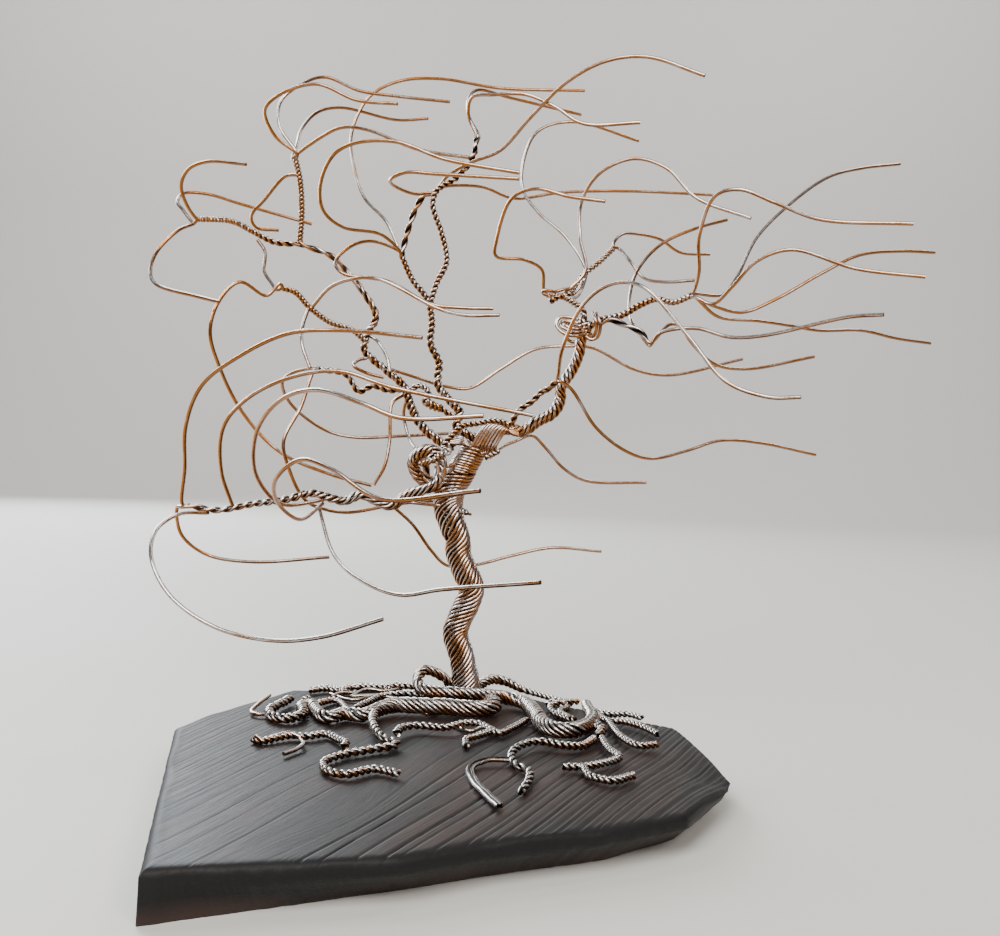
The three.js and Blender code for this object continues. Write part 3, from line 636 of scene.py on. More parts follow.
# A strand wanders in three waves to each 20 mm, round its bundle by a share of the wire's diameter
# and outwards by a share of the bundle's radius.
WANDER_WAVES = np.array([0.9, 2.1, 3.7])
WANDER_LENGTH = 20 * MM
WANDER_ROUND, WANDER_OUT = 0.10, 0.05
FINE_STEP = 0.5 * MM  # between two rings of a short stray wire
WIRE_STEP = 0.9 * MM  # between two rings of a long one
FAN_JITTER = 0.02  # how far a strand of a fan strays along a rail, as a share of it
FAN_GROOVE_SHADE_LIFT = 0.65  # how far the painted groove shade is lifted on the inner sides of a fan's strands
REACH = 3.5 * MM  # a wire is drawn from a strand's end that is no further than this from its start
SHARING = 3 * MM  # the extra distance that a strand's end counts once a wire has taken it
NEAR_END, PAST_END = 0.2 * MM, 1.3 * MM  # where a wire's route passes a strand's end

# The first seed of each group of pieces, and the step from one piece to the next.
ROOT_SEED, ROOT_SEED_STEP = SEED + 100, 10
WIRE_SEED = SEED + 300
TWIST_SEED, TWIST_SEED_STEP = SEED + 500, 20
STRAY_SEED = SEED + 600


# ---------------------------------------------------------------- shapes


def unit(vectors):
    """Vectors of length one in the same directions."""
    return vectors / np.linalg.norm(vectors, axis=-1, keepdims=True)


def spread(values, share):
    """The value at each share, 0 to 1, of a length along which the values are spaced evenly."""
    return np.interp(share, np.linspace(0, 1, len(values)), values)


def evenly(path, step):
    """The path again, with its points a step apart along its length."""
    far = np.concatenate([[0], np.cumsum(np.linalg.norm(np.diff(path, axis=0), axis=1))])
    places = np.linspace(0, far[-1], max(4, round(far[-1] / step) + 1))
    return np.stack([np.interp(places, far, path[:, k]) for k in range(3)], axis=1)


def smooth(route, step):
    """A smooth curve through the route's points, as points a step apart.

    Each stretch is a cubic. Its slope at a point weighs the two directions that meet there by the
    square roots of their lengths, so it neither overshoots nor loops at close points.
    """
    points = np.asarray(route, float)
    points = np.vstack([2 * points[0] - points[1], points, 2 * points[-1] - points[-2]])
    pace = np.sqrt(np.linalg.norm(np.diff(points, axis=0), axis=1))[:, None]
    before, here, after = pace[:-2], pace[1:-1], pace[2:]
    p0, p1, p2, p3 = points[:-3], points[1:-2], points[2:-1], points[3:]
    leave = here * ((p1 - p0) / before - (p2 - p0) / (before + here) + (p2 - p1) / here)
    arrive = here * ((p2 - p1) / here - (p3 - p1) / (here + after) + (p3 - p2) / after)
    t = np.linspace(0, 1, 24, endpoint=False)[:, None, None]
    curve = (
        (2 * t**3 - 3 * t**2 + 1) * p1
        + (t**3 - 2 * t**2 + t) * leave
        + (3 * t**2 - 2 * t**3) * p2
        + (t**3 - t**2) * arrive
    )
    curve = curve.transpose(1, 0, 2).reshape(-1, 3)
    return evenly(np.vstack([curve, points[-2]]), step)


def steady_frame(path):
    """The direction of the path at each point, and two sides square to it that don't spin round it.

    The sides start from the direction that the path leans towards least. The angle by which they
    then turn about the path from point to point is summed up and taken back out.
    """
    along = unit(np.gradient(path, axis=0))
    fixed = np.linalg.svd(along, full_matrices=False)[2][-1]
    side = unit(np.cross(fixed, along))
    other = np.cross(along, side)
    spin = np.arctan2((side[1:] * other[:-1]).sum(1), (side[1:] * side[:-1]).sum(1))
    spin = np.concatenate([[0], np.cumsum(spin)])[:, None]
    cos, sin = np.cos(spin), np.sin(spin)
    return along, cos * side - sin * other, cos * other + sin * side


def lay_strands(bundle, wire, step, rng):
    """The middles of the strands of a bundle, and which way is outwards at each of their points.

    A strand's angle round the bundle grows by the tangent of its tilt, over its distance from the
    middle, for each bit of length. As many strands lie side by side as there is room for at their
    tilt. Where the bundle narrows, the last ones sink to its middle. Each wanders a little.
    """
    middle = smooth(bundle.route, step)
    _, side, other = steady_frame(middle)
    share = np.linspace(0, 1, len(middle))
    radius = np.maximum((spread(bundle.diameters, share) - wire) / 2, LEAST_RADIUS * wire)
    tilt = np.radians(spread(bundle.tilts, share))
    bits = np.linalg.norm(np.gradient(middle, axis=0), axis=1)
    turn = np.cumsum(np.tan(tilt) / radius * bits)
    lean = wire / (2 * radius * np.cos(tilt))
    room = np.maximum(np.pi / np.arcsin(np.minimum(lean, 1)), 2)
    count = int(room.max() + 0.3)
    fill = np.minimum(room, count)
    strand = np.arange(count)[:, None]
    phase = rng.uniform(0, 2 * np.pi, (2, 3, count, 1))
    waves = WANDER_WAVES[:, None, None] * len(middle) * step / WANDER_LENGTH
    wander = np.sin(waves * 2 * np.pi * share + phase).sum(axis=1) / 3
    angle = turn + 2 * np.pi * strand / fill + WANDER_ROUND * wire / radius * wander[0]
    out = radius * np.clip(fill - strand, 0, 1) * (1 + WANDER_OUT * wander[1])
    outward = np.cos(angle)[..., None] * side + np.sin(angle)[..., None] * other
    return middle + out[..., None] * outward, outward


# Points, four-sided faces, end faces, and for each point how far it stands out of its bundle, which
# keeps it clear of the painted shade of the grooves, and a number that tells its wire from the
# others.
Surface = namedtuple("Surface", "points quads caps worn wire")


def tubes(paths, outward, wire, rng, sides=8, bare=False):
    """Round wires along the paths, cut off square.

    A ring round a path's point is the point plus half the wire's diameter, times the cosine of the
    ring's angle outwards and its sine sideways. How far a point stands out of the bundle is the
    share of that outward part; where it is small, the material paints shade for the grooves
    between strands.
    """
    paths, outward = np.atleast_3d(paths), np.atleast_3d(outward)
    along = unit(np.gradient(paths, axis=1))
    out = unit(outward - (outward * along).sum(-1, keepdims=True) * along)
    beside = np.cross(along, out)
    angle = 2 * np.pi * np.arange(sides) / sides
    ring = np.cos(angle)[:, None] * out[:, :, None] + np.sin(angle)[:, None] * beside[:, :, None]
    points = paths[:, :, None] + wire / 2 * ring
    strands, rings = paths.shape[:2]
    index = np.arange(points.size // 3).reshape(strands, rings, sides)
    here, there = index[:, :-1], index[:, 1:]
    corners = [here, np.roll(here, -1, 2), np.roll(there, -1, 2), there]
    quads = np.stack(corners, axis=-1).reshape(-1, 4)
    caps = np.concatenate([index[:, 0, ::-1], index[:, -1]])
    worn = np.broadcast_to(1.0 if bare else (1 + np.cos(angle)) / 2, index.shape).ravel()
    number = np.broadcast_to(rng.uniform(0, 1, (strands, 1, 1)), index.shape).ravel()
    return Surface(points.reshape(-1, 3), quads, caps, worn, number)


def joined(surfaces):
    """Several surfaces as one, with each one's faces counted on from the points before it."""
    first = np.cumsum([0] + [len(s.points) for s in surfaces[:-1]])
    return Surface(
        np.concatenate([s.points for s in surfaces]),
        np.concatenate([s.quads + n for s, n in zip(surfaces, first)]),
        np.concatenate([s.caps + n for s, n in zip(surfaces, first)]),
        np.concatenate([s.worn for s in surfaces]),
        np.concatenate([s.wire for s in surfaces]),
    )


def single_wire(route, wire, rng, step=WIRE_STEP):
    """One bare wire along a smooth route."""
    path = smooth(route, step)
    return tubes(path[None], steady_frame(path)[1][None], wire, rng, bare=True)


def fan(count, rails, wire, rng):
    """Wires side by side. Each crosses every rail at the same share of the rail's length.

    Outwards is square to the rails and to the wires.
    """
    rails = MM * np.array(rails, float)
    stray = rng.uniform(-FAN_JITTER, FAN_JITTER, (count, len(rails), 1))
    share = np.linspace(0, 1, count)[:, None, None] + stray
    routes = rails[:, 0] + share * (rails[:, 1] - rails[:, 0])
    paths = [smooth(route, FINE_STEP) for route in routes]
    across = unit(rails[:, 1] - rails[:, 0])
    sides = [np.stack([spread(a, np.linspace(0, 1, len(p))) for a in across.T], 1) for p in paths]
    outward = [np.cross(side, np.gradient(path, axis=0)) for side, path in zip(sides, paths)]
    whole = joined([tubes(path[None], out[None], wire, rng) for path, out in zip(paths, outward)])
    # The crown is open behind, so the painted groove shade on the inner sides of its strands is
    # kept light.
    return whole._replace(worn=np.maximum(whole.worn, FAN_GROOVE_SHADE_LIFT))


def add_piece(name, points, quads, caps, attributes, material, nodes, slot, sharp=50):
    """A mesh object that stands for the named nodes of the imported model."""
    corners = np.concatenate([quads.ravel(), caps.ravel()])
    sizes = np.concatenate([np.full(len(quads), 4), np.full(len(caps), caps.shape[1])])
    mesh = bpy.data.meshes.new(name)
    mesh.vertices.add(len(points))
    mesh.vertices.foreach_set("co", points.astype(np.float32).ravel())
    mesh.loops.add(len(corners))
    mesh.loops.foreach_set("vertex_index", corners.astype(np.int32))
    mesh.polygons.add(len(sizes))
    mesh.polygons.foreach_set("loop_start", (np.cumsum(sizes) - sizes).astype(np.int32))
    mesh.update(calc_edges=True)
    for label, values in attributes.items():
        layer = mesh.attributes.new(label, "FLOAT", "POINT")
        layer.data.foreach_set("value", values.astype(np.float32))
    mesh.shade_smooth()
    mesh.set_sharp_from_angle(angle=math.radians(sharp))
    mesh.materials.append(material)
    piece = bpy.data.objects.new(name, mesh)
    bpy.context.scene.collection.objects.link(piece)
    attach(piece, "root")
    if nodes:
        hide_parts(*nodes)
    return piece


def add_wires(name, surfaces, material, nodes=()):
    """A piece of steel wire."""
    whole = joined(surfaces)
    shape = (whole.points, whole.quads, whole.caps, {"worn": whole.worn, "wire": whole.wire})
    return add_piece(name, *shape, material, nodes, "steel_wire")


# ---------------------------------------------------------------- the board


LOOPS, TOP_POINTS, SIDE_POINTS, BELOW_POINTS = 470, 96, 8, 20
END_GAP = 0.5 * MM  # from the first and last loop to the tips of the outline
KNOT, KNOT_SIZE, KNOT_PUSH = (4 * MM, -52 * MM), (7 * MM, 22 * MM), 6 * MM  # across, along
BURNT_TIP, BURNT_TIP_SIZE, BURNT_TIP_DEPTH = (74 * MM, -8 * MM), (12 * MM, 16 * MM), 2.2 * MM
RIM_WIDTH = 2.8 * MM  # of the black along the top's edge


def reach(corners, angle):
    """How far a closed outline is from the board's middle in each direction."""
    ends = np.roll(corners, -1, 0)
    t = np.linspace(0, 1, 60, endpoint=False)[:, None, None]
    edge = ((1 - t) * corners + t * ends).reshape(-1, 2) - BOARD_MIDDLE
    around = np.arctan2(edge[:, 1], edge[:, 0])
    order = around.argsort()
    return np.interp(angle, around[order], np.hypot(*edge[order].T), period=2 * np.pi)


def board_surface(thickness, edge, lower_edge):
    """The board as loops that lie along the grain, from its left side to its right.

    A loop runs along the top, down the far end, back below and up the near end. The top is drawn
    down near the outline along a quarter of a circle, and below the lower edge the sides slope in
    to the foot. The rings' phase is the sum across the board of one over the width of a ring, and a
    groove follows each whole number of it.
    """
    rng = np.random.default_rng(SEED)
    corners, foot = MM * np.array(BOARD_OUTLINE), MM * np.array(BOARD_FOOT)
    across, along = corners @ ACROSS_GRAIN, corners @ ALONG_GRAIN
    left, right = across.argmin(), across.argmax()
    far = list(range(left, right + 1))
    near = [i % len(corners) for i in range(left + len(corners), right - 1, -1)]
    fine = 0.6 * MM * np.array([0, 0.15, 0.4, 0.8, 1.4, 2.2])
    u = np.linspace(across[left] + END_GAP, across[right] - END_GAP, LOOPS)
    u = np.unique(np.concatenate([u, u[0] + fine, u[-1] - fine]))
    far_end = np.interp(u, across[far], along[far])
    near_end = np.interp(u, across[near], along[near])
    # Both ends are a little ragged, as fibres broke away.
    rough = rng.uniform(0, 0.8 * MM, (2, len(u)))
    rough = np.apply_along_axis(np.convolve, 1, rough, np.ones(5) / 5, "same")
    middle, half = (far_end + near_end) / 2, (far_end - near_end) / 2
    far_end = middle + np.maximum(half - rough[0], 0.001)
    near_end = middle - np.maximum(half - rough[1], 0.001)
    # Along a loop: the share of the way from the near end to the far one, and how far down.
    top = np.linspace(0, 1, TOP_POINTS)
    top = 0.7 * top + 0.3 * (1 - np.cos(np.pi * top)) / 2
    side = np.linspace(0, 1, SIDE_POINTS + 2)[1:-1]
    upright = np.ones(SIDE_POINTS)
    share = np.concatenate([top, upright, np.linspace(1, 0, BELOW_POINTS), 0 * upright])
    drop = np.concatenate([0 * top, side, np.ones(BELOW_POINTS), side[::-1]])
    v = near_end[:, None] + (far_end - near_end)[:, None] * share
    u, drop = np.broadcast_arrays(u[:, None], drop, v)[:2]
    flat = u[..., None] * ACROSS_GRAIN + v[..., None] * ALONG_GRAIN
    # How far each point is from the outline.
    start, run = corners[:, None, None], (np.roll(corners, -1, 0) - corners)[:, None, None]
    gap = flat - start
    nearest = np.clip((gap * run).sum(-1) / (run * run).sum(-1), 0, 1)
    inside = np.linalg.norm(gap - nearest[..., None] * run, axis=-1).min(0)
    # The lines fan out across the board, waver, and bow round a knot.
    table = RINGS.T
    slope = np.tan(np.radians(np.interp(u, table[0], table[2])) - GRAIN_ANGLE)
    knot = np.exp(-(((u - KNOT[0]) / KNOT_SIZE[0]) ** 2 + ((v - KNOT[1]) / KNOT_SIZE[1]) ** 2))
    waver = 0.4 * MM * np.sin(v / (11 * MM) + u / (20 * MM))
    place = u - slope * v - KNOT_PUSH * knot + waver
    across = np.linspace(-0.1, 0.1, 2001)
    phase = np.cumsum(1 / np.interp(across, table[0], table[1])) * (across[1] - across[0])
    phase = np.interp(place, across, phase)
    phase = phase + 0.16 * np.sin(1.9 * phase) + 0.10 * np.sin(4.3 * phase)
    width, depth, half_width = (np.interp(place, table[0], row) for row in table[[1, 3, 4]])
    to_line = np.abs(phase - np.round(phase)) * width
    strength = 0.72 + 0.28 * np.sin(2.6 * np.round(phase))
    line = strength * np.exp(-((to_line / half_width) ** 2))
    line = line * np.clip(inside / (2 * MM), 0, 1) * (drop == 0)
    # The worn edge: its radius wavers, and the right-hand tip is burnt down most.
    tip = np.exp(-((((flat - BURNT_TIP) / BURNT_TIP_SIZE) ** 2).sum(-1)))
    waves = 1 + 0.25 * np.sin(u / (4 * MM)) + 0.15 * np.sin(v / (3 * MM))
    away = 1 - np.clip(inside / (edge * waves + 3 * MM * tip), 0, 1)
    round_off = edge * (1 - np.sqrt(np.clip(1 - away**2, 0, 1))) + BURNT_TIP_DEPTH * tip
    z = (thickness - round_off - depth * line) * (1 - drop)
    # Below the lower edge a point moves towards the middle by as much as the foot is drawn in.
    off = flat - BOARD_MIDDLE
    angle = np.arctan2(off[..., 1], off[..., 0])
    drawn_in = 1 - reach(foot, angle) / reach(corners, angle)
    low = np.clip((lower_edge - z) / lower_edge, 0, 1)
    flat = BOARD_MIDDLE + off * (1 - drawn_in * low)[..., None]
    points = np.concatenate([flat, z[..., None]], -1)
    index = np.arange(z.size).reshape(z.shape)
    here, there = index[:-1], index[1:]
    quads = np.stack([here, np.roll(here, -1, 1), np.roll(there, -1, 1), there], -1).reshape(-1, 4)
    caps = np.stack([index[0, ::-1], index[-1]])
    rim = np.maximum(np.exp(-((inside / RIM_WIDTH) ** 2)), tip) * (drop == 0) + (drop > 0)
    attributes = {"line": line, "rim": rim, "low": low, "across": place}
    attributes = {label: values.ravel() for label, values in attributes.items()}
    return points.reshape(-1, 3), quads[:, ::-1], caps[:, ::-1], attributes


# ---------------------------------------------------------------- materials


def add_node(tree, kind, inputs=None, **settings):
    """Adds a shader node with its settings. Each input gets a value or the socket that feeds it."""
    node = tree.nodes.new("ShaderNode" + kind)
    for label, value in settings.items():
        setattr(node, label, value)
    for label, value in (inputs or {}).items():
        socket = node.inputs[label]
        if isinstance(value, bpy.types.NodeSocket):
            tree.links.new(value, socket)
        else:
            socket.default_value = value
    return node


def new_material(name):
    """A material with only its output, its tree and the object's own coordinates."""
    material = bpy.data.materials.new(name)
    material.use_nodes = True
    tree = material.node_tree
    tree.nodes.clear()
    output = add_node(tree, "OutputMaterial")
    return material, tree, output, add_node(tree, "TexCoord").outputs["Object"]


def opaque(colour):
    return (*colour[:3], 1.0)


def steel_wire(colours):
    """Black-annealed mild steel wire, drawn and twisted.

    Its colour mixes silver and copper in random patches that differ from wire to wire, with a
    painted reflection on top: silver on faces turned up and to the left, copper on faces turned
    down, to the front and to the right. Down in the grooves of the twist, between the strands, it
    is near black with painted shade.
    """
    material, tree, output, place = new_material("annealed_drawn_steel_wire")
    worn = add_node(tree, "Attribute", attribute_name="worn").outputs["Fac"]
    wire = add_node(tree, "Attribute", attribute_name="wire").outputs["Fac"]
    # Painted reflection: the surface's facing direction pushes faces turned down, to the front and
    # to the right towards copper, and leaves faces turned up and to the left silver.
    facing = add_node(tree, "NewGeometry").outputs["Normal"]
    sides = {0: facing, 1: (0.35, -0.15, -0.75)}
    painted_reflection_side = add_node(tree, "VectorMath", sides, operation="DOT_PRODUCT").outputs["Value"]
    # Patches of copper tone about 8 mm long, and each wire has more or less of it than its
    # neighbours.
    scale = {"Vector": place, "Scale": 125.0, "Detail": 3.0, "Roughness": 0.6}
    patches = add_node(tree, "TexNoise", scale).outputs["Fac"]
    sum_of = {0: patches, 1: 1.5, 2: painted_reflection_side}
    tint_and_painted_reflection = add_node(tree, "Math", sum_of, operation="MULTIPLY_ADD").outputs[0]
    sum_of = {0: wire, 1: 0.35, 2: tint_and_painted_reflection}
    tint_and_painted_reflection = add_node(tree, "Math", sum_of, operation="MULTIPLY_ADD").outputs[0]
    span = {"Value": tint_and_painted_reflection, "From Min": 0.55, "From Max": 1.30}
    tint_and_painted_reflection = add_node(tree, "MapRange", span, interpolation_type="SMOOTHSTEP").outputs[0]
    mix = {0: tint_and_painted_reflection, 6: opaque(colours.silver), 7: opaque(colours.copper)}
    colour = add_node(tree, "Mix", mix, data_type="RGBA").outputs[2]
    # Painted shade: the inner sides of the strands, down in the grooves between them, are mixed
    # towards near black.
    span = {"Value": worn, "From Min": 0.35, "From Max": 1.0}
    bright = add_node(tree, "MapRange", span, interpolation_type="SMOOTHSTEP").outputs[0]
    mix = {0: bright, 6: opaque(colours.painted_groove_shade), 7: colour}
    colour = add_node(tree, "Mix", mix, data_type="RGBA").outputs[2]
    # Die marks and smudges, drawn at about 1 mm because the real ones are too fine to show.
    scale = {"Vector": place, "Scale": 900.0, "Detail": 2.0}
    smudge = add_node(tree, "TexNoise", scale).outputs["Fac"]
    span = {"Value": smudge, "To Min": 0.14, "To Max": 0.36}
    rough = add_node(tree, "MapRange", span).outputs[0]
    relief = {"Height": smudge, "Strength": 0.2, "Distance": 0.05 * MM}
    bump = add_node(tree, "Bump", relief).outputs[0]
    finish = {"Base Color": colour, "Metallic": 1.0, "Roughness": rough, "Normal": bump}
    shader = add_node(tree, "BsdfPrincipled", finish)
    tree.links.new(shader.outputs[0], output.inputs["Surface"])
    return material


def charred_pine(colours):
    """Pine board, flamed black, brushed along the grain and oiled.

    It gives the eye hard dark grooves and softer worn bands between them, red-brown where the char
    is thin, black at the rim where the flame bit deepest, and a satin sheen that follows the grain.
    """
    material, tree, output, place = new_material("charred_brushed_oiled_pine")
    line, rim, low, across = (
        add_node(tree, "Attribute", attribute_name=name).outputs["Fac"]
        for name in ("line", "rim", "low", "across")
    )
    apart = add_node(tree, "SeparateXYZ", {0: place}).outputs
    # Along the grain everything is drawn out 22 times.
    product = {0: apart["Y"], 1: 0.045}
    stretched = add_node(tree, "Math", product, operation="MULTIPLY").outputs[0]
    turned = {"X": across, "Y": stretched, "Z": apart["Z"]}
    lengthways = add_node(tree, "CombineXYZ", turned).outputs[0]
    # Fibres are drawn about 0.5 mm wide, because the real ones, a tenth of that, don't show.
    scale = {"Vector": lengthways, "Scale": 1900.0, "Detail": 3.0, "Roughness": 0.65}
    fibre = add_node(tree, "TexNoise", scale).outputs["Fac"]
    # Bands of early wood 3 to 8 mm wide, and clouds of thinner char 30 mm wide.
    scale = {"Vector": lengthways, "Scale": 210.0, "Detail": 2.0}
    band = add_node(tree, "TexNoise", scale).outputs["Fac"]
    scale = {"Vector": place, "Scale": 30.0, "Detail": 2.0}
    cloud = add_node(tree, "TexNoise", scale).outputs["Fac"]
    sum_of = {0: band, 1: 0.5, 2: cloud}
    thin = add_node(tree, "Math", sum_of, operation="MULTIPLY_ADD").outputs[0]
    span = {"Value": thin, "From Min": 0.62, "From Max": 0.95}
    thin = add_node(tree, "MapRange", span, interpolation_type="SMOOTHSTEP").outputs[0]
    mix = {0: thin, 6: opaque(colours.char), 7: opaque(colours.scorched_and_bounce_light)}
    colour = add_node(tree, "Mix", mix, data_type="RGBA").outputs[2]
    span = {"Value": fibre, "From Min": 0.35, "From Max": 0.75, "To Max": 0.7}
    streak = add_node(tree, "MapRange", span).outputs[0]
    for share in (streak, line, rim):
        mix = {0: share, 6: colour, 7: opaque(colours.soot)}
        colour = add_node(tree, "Mix", mix, data_type="RGBA").outputs[2]
    # Painted bounce light: the light that the floor throws back up is painted red-brown on the
    # sloping foot of the sides.
    painted_bounce_light = add_node(tree, "Math", {0: low, 1: cloud}, operation="MULTIPLY").outputs[0]
    span = {"Value": painted_bounce_light, "From Min": 0.15, "From Max": 0.45}
    painted_bounce_light = add_node(tree, "MapRange", span).outputs[0]
    mix = {0: painted_bounce_light, 6: colour, 7: opaque(colours.scorched_and_bounce_light)}
    colour = add_node(tree, "Mix", mix, data_type="RGBA").outputs[2]
    dull = add_node(tree, "Math", {0: line, 1: rim}, operation="MAXIMUM").outputs[0]
    sum_of = {0: dull, 1: 0.4, 2: fibre}
    dull = add_node(tree, "Math", sum_of, operation="MULTIPLY_ADD").outputs[0]
    rough = add_node(tree, "MapRange", {"Value": dull, "To Min": 0.32, "To Max": 0.62}).outputs[0]
    sum_of = {0: band, 1: 1.5, 2: fibre}
    height = add_node(tree, "Math", sum_of, operation="MULTIPLY_ADD").outputs[0]
    relief = {"Height": height, "Strength": 0.4, "Distance": 0.2 * MM}
    bump = add_node(tree, "Bump", relief).outputs[0]
    finish = {"Base Color": colour, "Roughness": rough, "IOR": 1.5, "Normal": bump}
    shader = add_node(tree, "BsdfPrincipled", {**finish, "Specular IOR Level": 0.35})
    tree.links.new(shader.outputs[0], output.inputs["Surface"])
    return material


def studio_floor(colours):
    """Matt white laminate: a pale floor that takes a soft shadow."""
    material, tree, output, place = new_material("matt_white_laminate")
    scale = {"Vector": place, "Scale": 6.0, "Detail": 2.0}
    cloud = add_node(tree, "TexNoise", scale).outputs["Fac"]
    rough = add_node(tree, "MapRange", {"Value": cloud, "To Min": 0.55, "To Max": 0.65}).outputs[0]
    finish = {"Base Color": opaque(colours.floor), "Roughness": rough}
    shader = add_node(tree, "BsdfPrincipled", finish)
    tree.links.new(shader.outputs[0], output.inputs["Surface"])
    return material


def material_named(name, make, colours):
    """The scene's material of that name, made the first time that it is asked for."""
    return bpy.data.materials.get(name) or make(colours)


# ---------------------------------------------------------------- settings


def size(label, about, default):
    limits = {"min": 0.01 * MM, "precision": 5, "unit": "LENGTH"}
    return bpy.props.FloatProperty(name=label, description=about, default=default, **limits)


def paint(label, about, code):
    limits = {"default": linear(code), "min": 0, "max": 1, "subtype": "COLOR"}
    return bpy.props.FloatVectorProperty(name=label, description=about, **limits)


class WireTreeSizes(bpy.types.PropertyGroup):
    wire: size("Wire", "Diameter of the wire that the tree is twisted from", 1.12 * MM)
    strand_step: size("Strand Step", "Length of a strand between two rings of its mesh", 0.35 * MM)
    board: size("Board", "Thickness of the board", 10 * MM)
    board_edge: size("Board Edge", "Radius of the worn edge of the board's top", 2.2 * MM)
    board_lower_edge: size("Lower Edge", "Height below which the board's sides slope in", 6.5 * MM)


class WireTreeColours(bpy.types.PropertyGroup):
    # Silver and copper are mixed in random patches and by a painted reflection: silver on faces
    # turned up and to the left, copper on faces turned down, to the front and to the right.
    silver: paint("Silver", "Steel rubbed bright", "#D2CECA")
    copper: paint("Copper", "Steel tinted by heat", "#A0622C")
    # Near black painted shade for the grooves between the strands of a twist.
    painted_groove_shade: paint("Tarnish", "Steel down in the grooves of a twist", "#170F09")
    char: paint("Char", "The board where it is burnt hard", "#151314")
    # Also used for the painted bounce light on the sloping foot of the board's sides.
    scorched_and_bounce_light: paint("Scorched", "The board where the char is thin", "#33231F")
    soot: paint("Soot", "The board's grooves and sides", "#030202")
    floor: paint("Floor", "The floor of the studio", "#D9D6D0")


# ---------------------------------------------------------------- pieces


def points_of(route):
    """A route's points in metres."""
    return MM * np.array(route)


def strands_of(row, rng):
    """The strands of a bundle, given in millimetres, and which way is outwards on them."""
    sizes = bpy.context.scene.wire_tree_sizes
    diameters, tilts, route = row
    bundle = Bundle(MM * np.array(diameters), tilts, points_of(route))
    return lay_strands(bundle, sizes.wire, sizes.strand_step, rng)


def bundle_surface(row, seed):
    rng = np.random.default_rng(seed)
    return tubes(*strands_of(row, rng), bpy.context.scene.wire_tree_sizes.wire, rng)


def loose_ends():
    """The ends of all strands of the tree's bundles, and the directions in which they leave."""
    rows = enumerate(BUNDLES.values())
    ends = [strands_of(row, np.random.default_rng(SEED + i))[0] for i, row in rows]
    last = np.concatenate([paths[:, -1] for paths in ends])
    return last, np.concatenate([unit(paths[:, -1] - paths[:, -3]) for paths in ends])


def drawn_from(route, ends, directions, taken):
    """The route of a wire that goes on from the nearest strand's end that no wire has taken yet."""
    route = points_of(route)
    gap = np.linalg.norm(ends - route[0], axis=1) + SHARING * taken
    nearest = gap.argmin()
    if gap[nearest] - SHARING * taken[nearest] > REACH:
        return route
    taken[nearest] += 1
    end, direction = ends[nearest], directions[nearest]
    rest = route[1:][np.linalg.norm(route[1:] - end, axis=1) > REACH]
    return np.vstack([end - NEAR_END * direction, end + PAST_END * direction, rest])


def wire_routes():
    """The routes of all single wires by name: those of WIRES, and those of RUN_ON by bundle."""
    ends, directions = loose_ends()
    taken = np.zeros(len(ends))
    run_on = {k: [drawn_from(r, ends, directions, taken) for r in v] for k, v in RUN_ON.items()}
    return {k: drawn_from(r, ends, directions, taken) for k, r in WIRES.items()}, run_on


def add_bundles(names, material):
    """A piece for each named bundle, with the wires that run on out of it."""
    wire = bpy.context.scene.wire_tree_sizes.wire
    run_on = wire_routes()[1]
    for name in names:
        seed = SEED + list(BUNDLES).index(name)
        rng = np.random.default_rng(seed)
        surfaces = [bundle_surface(BUNDLES[name], seed)]
        surfaces += [single_wire(route, wire, rng) for route in run_on.get(name, [])]
        add_wires(name + "_strands", surfaces, material, [name])


LIMBS = ["left_limb", "middle_limb", "right_limb", "lower_branch"]


class PieceOperator:
    bl_options = {"REGISTER", "UNDO"}

    @property
    def sizes(self):
        return bpy.context.scene.wire_tree_sizes

    @property
    def steel(self):
        colours = bpy.context.scene.wire_tree_colours
        return material_named("annealed_drawn_steel_wire", steel_wire, colours)


class WIRETREE_OT_board(PieceOperator, bpy.types.Operator):
    """Adds the charred pine board"""

    bl_idname = "wiretree.board"
    bl_label = "Board"

    def execute(self, context):
        colours = context.scene.wire_tree_colours
        pine = material_named("charred_brushed_oiled_pine", charred_pine, colours)
        sizes = self.sizes
        surface = board_surface(sizes.board, sizes.board_edge, sizes.board_lower_edge)
        add_piece("charred_board", *surface, pine, ["wood_base"], "charred_pine", sharp=60)
        return {"FINISHED"}


class WIRETREE_OT_trunk(PieceOperator, bpy.types.Operator):
    """Adds the trunk"""

    bl_idname = "wiretree.trunk"
    bl_label = "Trunk"

    def execute(self, context):
        add_bundles(["trunk"], self.steel)
        return {"FINISHED"}


class WIRETREE_OT_limbs(PieceOperator, bpy.types.Operator):
    """Adds the three limbs and the long lower branch with its knot"""

    bl_idname = "wiretree.limbs"
    bl_label = "Limbs"

    def execute(self, context):
        add_bundles(LIMBS, self.steel)
        return {"FINISHED"}


class WIRETREE_OT_twigs(PieceOperator, bpy.types.Operator):
    """Adds the twigs, each twisted from a few wires that then run on alone"""

    bl_idname = "wiretree.twigs"
    bl_label = "Twigs"

    def execute(self, context):
        add_bundles([name for name in BUNDLES if name not in ("trunk", *LIMBS)], self.steel)
        return {"FINISHED"}


class WIRETREE_OT_roots(PieceOperator, bpy.types.Operator):
    """Adds the roots that spread over the board"""

    bl_idname = "wiretree.roots"
    bl_label = "Roots"

    def execute(self, context):
        for i, (name, parts) in enumerate(ROOTS.items()):
            seed = ROOT_SEED + ROOT_SEED_STEP * i
            surfaces = [bundle_surface(part, seed + k) for k, part in enumerate(parts)]
            add_wires(name + "_strands", surfaces, self.steel, [name])
        return {"FINISHED"}


class WIRETREE_OT_wires(PieceOperator, bpy.types.Operator):
    """Adds the single wires that stream out with the wind"""

    bl_idname = "wiretree.wires"
    bl_label = "Windblown Wires"

    def execute(self, context):
        for i, (name, route) in enumerate(wire_routes()[0].items()):
            surface = single_wire(route, self.sizes.wire, np.random.default_rng(WIRE_SEED + i))
            add_wires(name + "_strand", [surface], self.steel, [name])
        return {"FINISHED"}


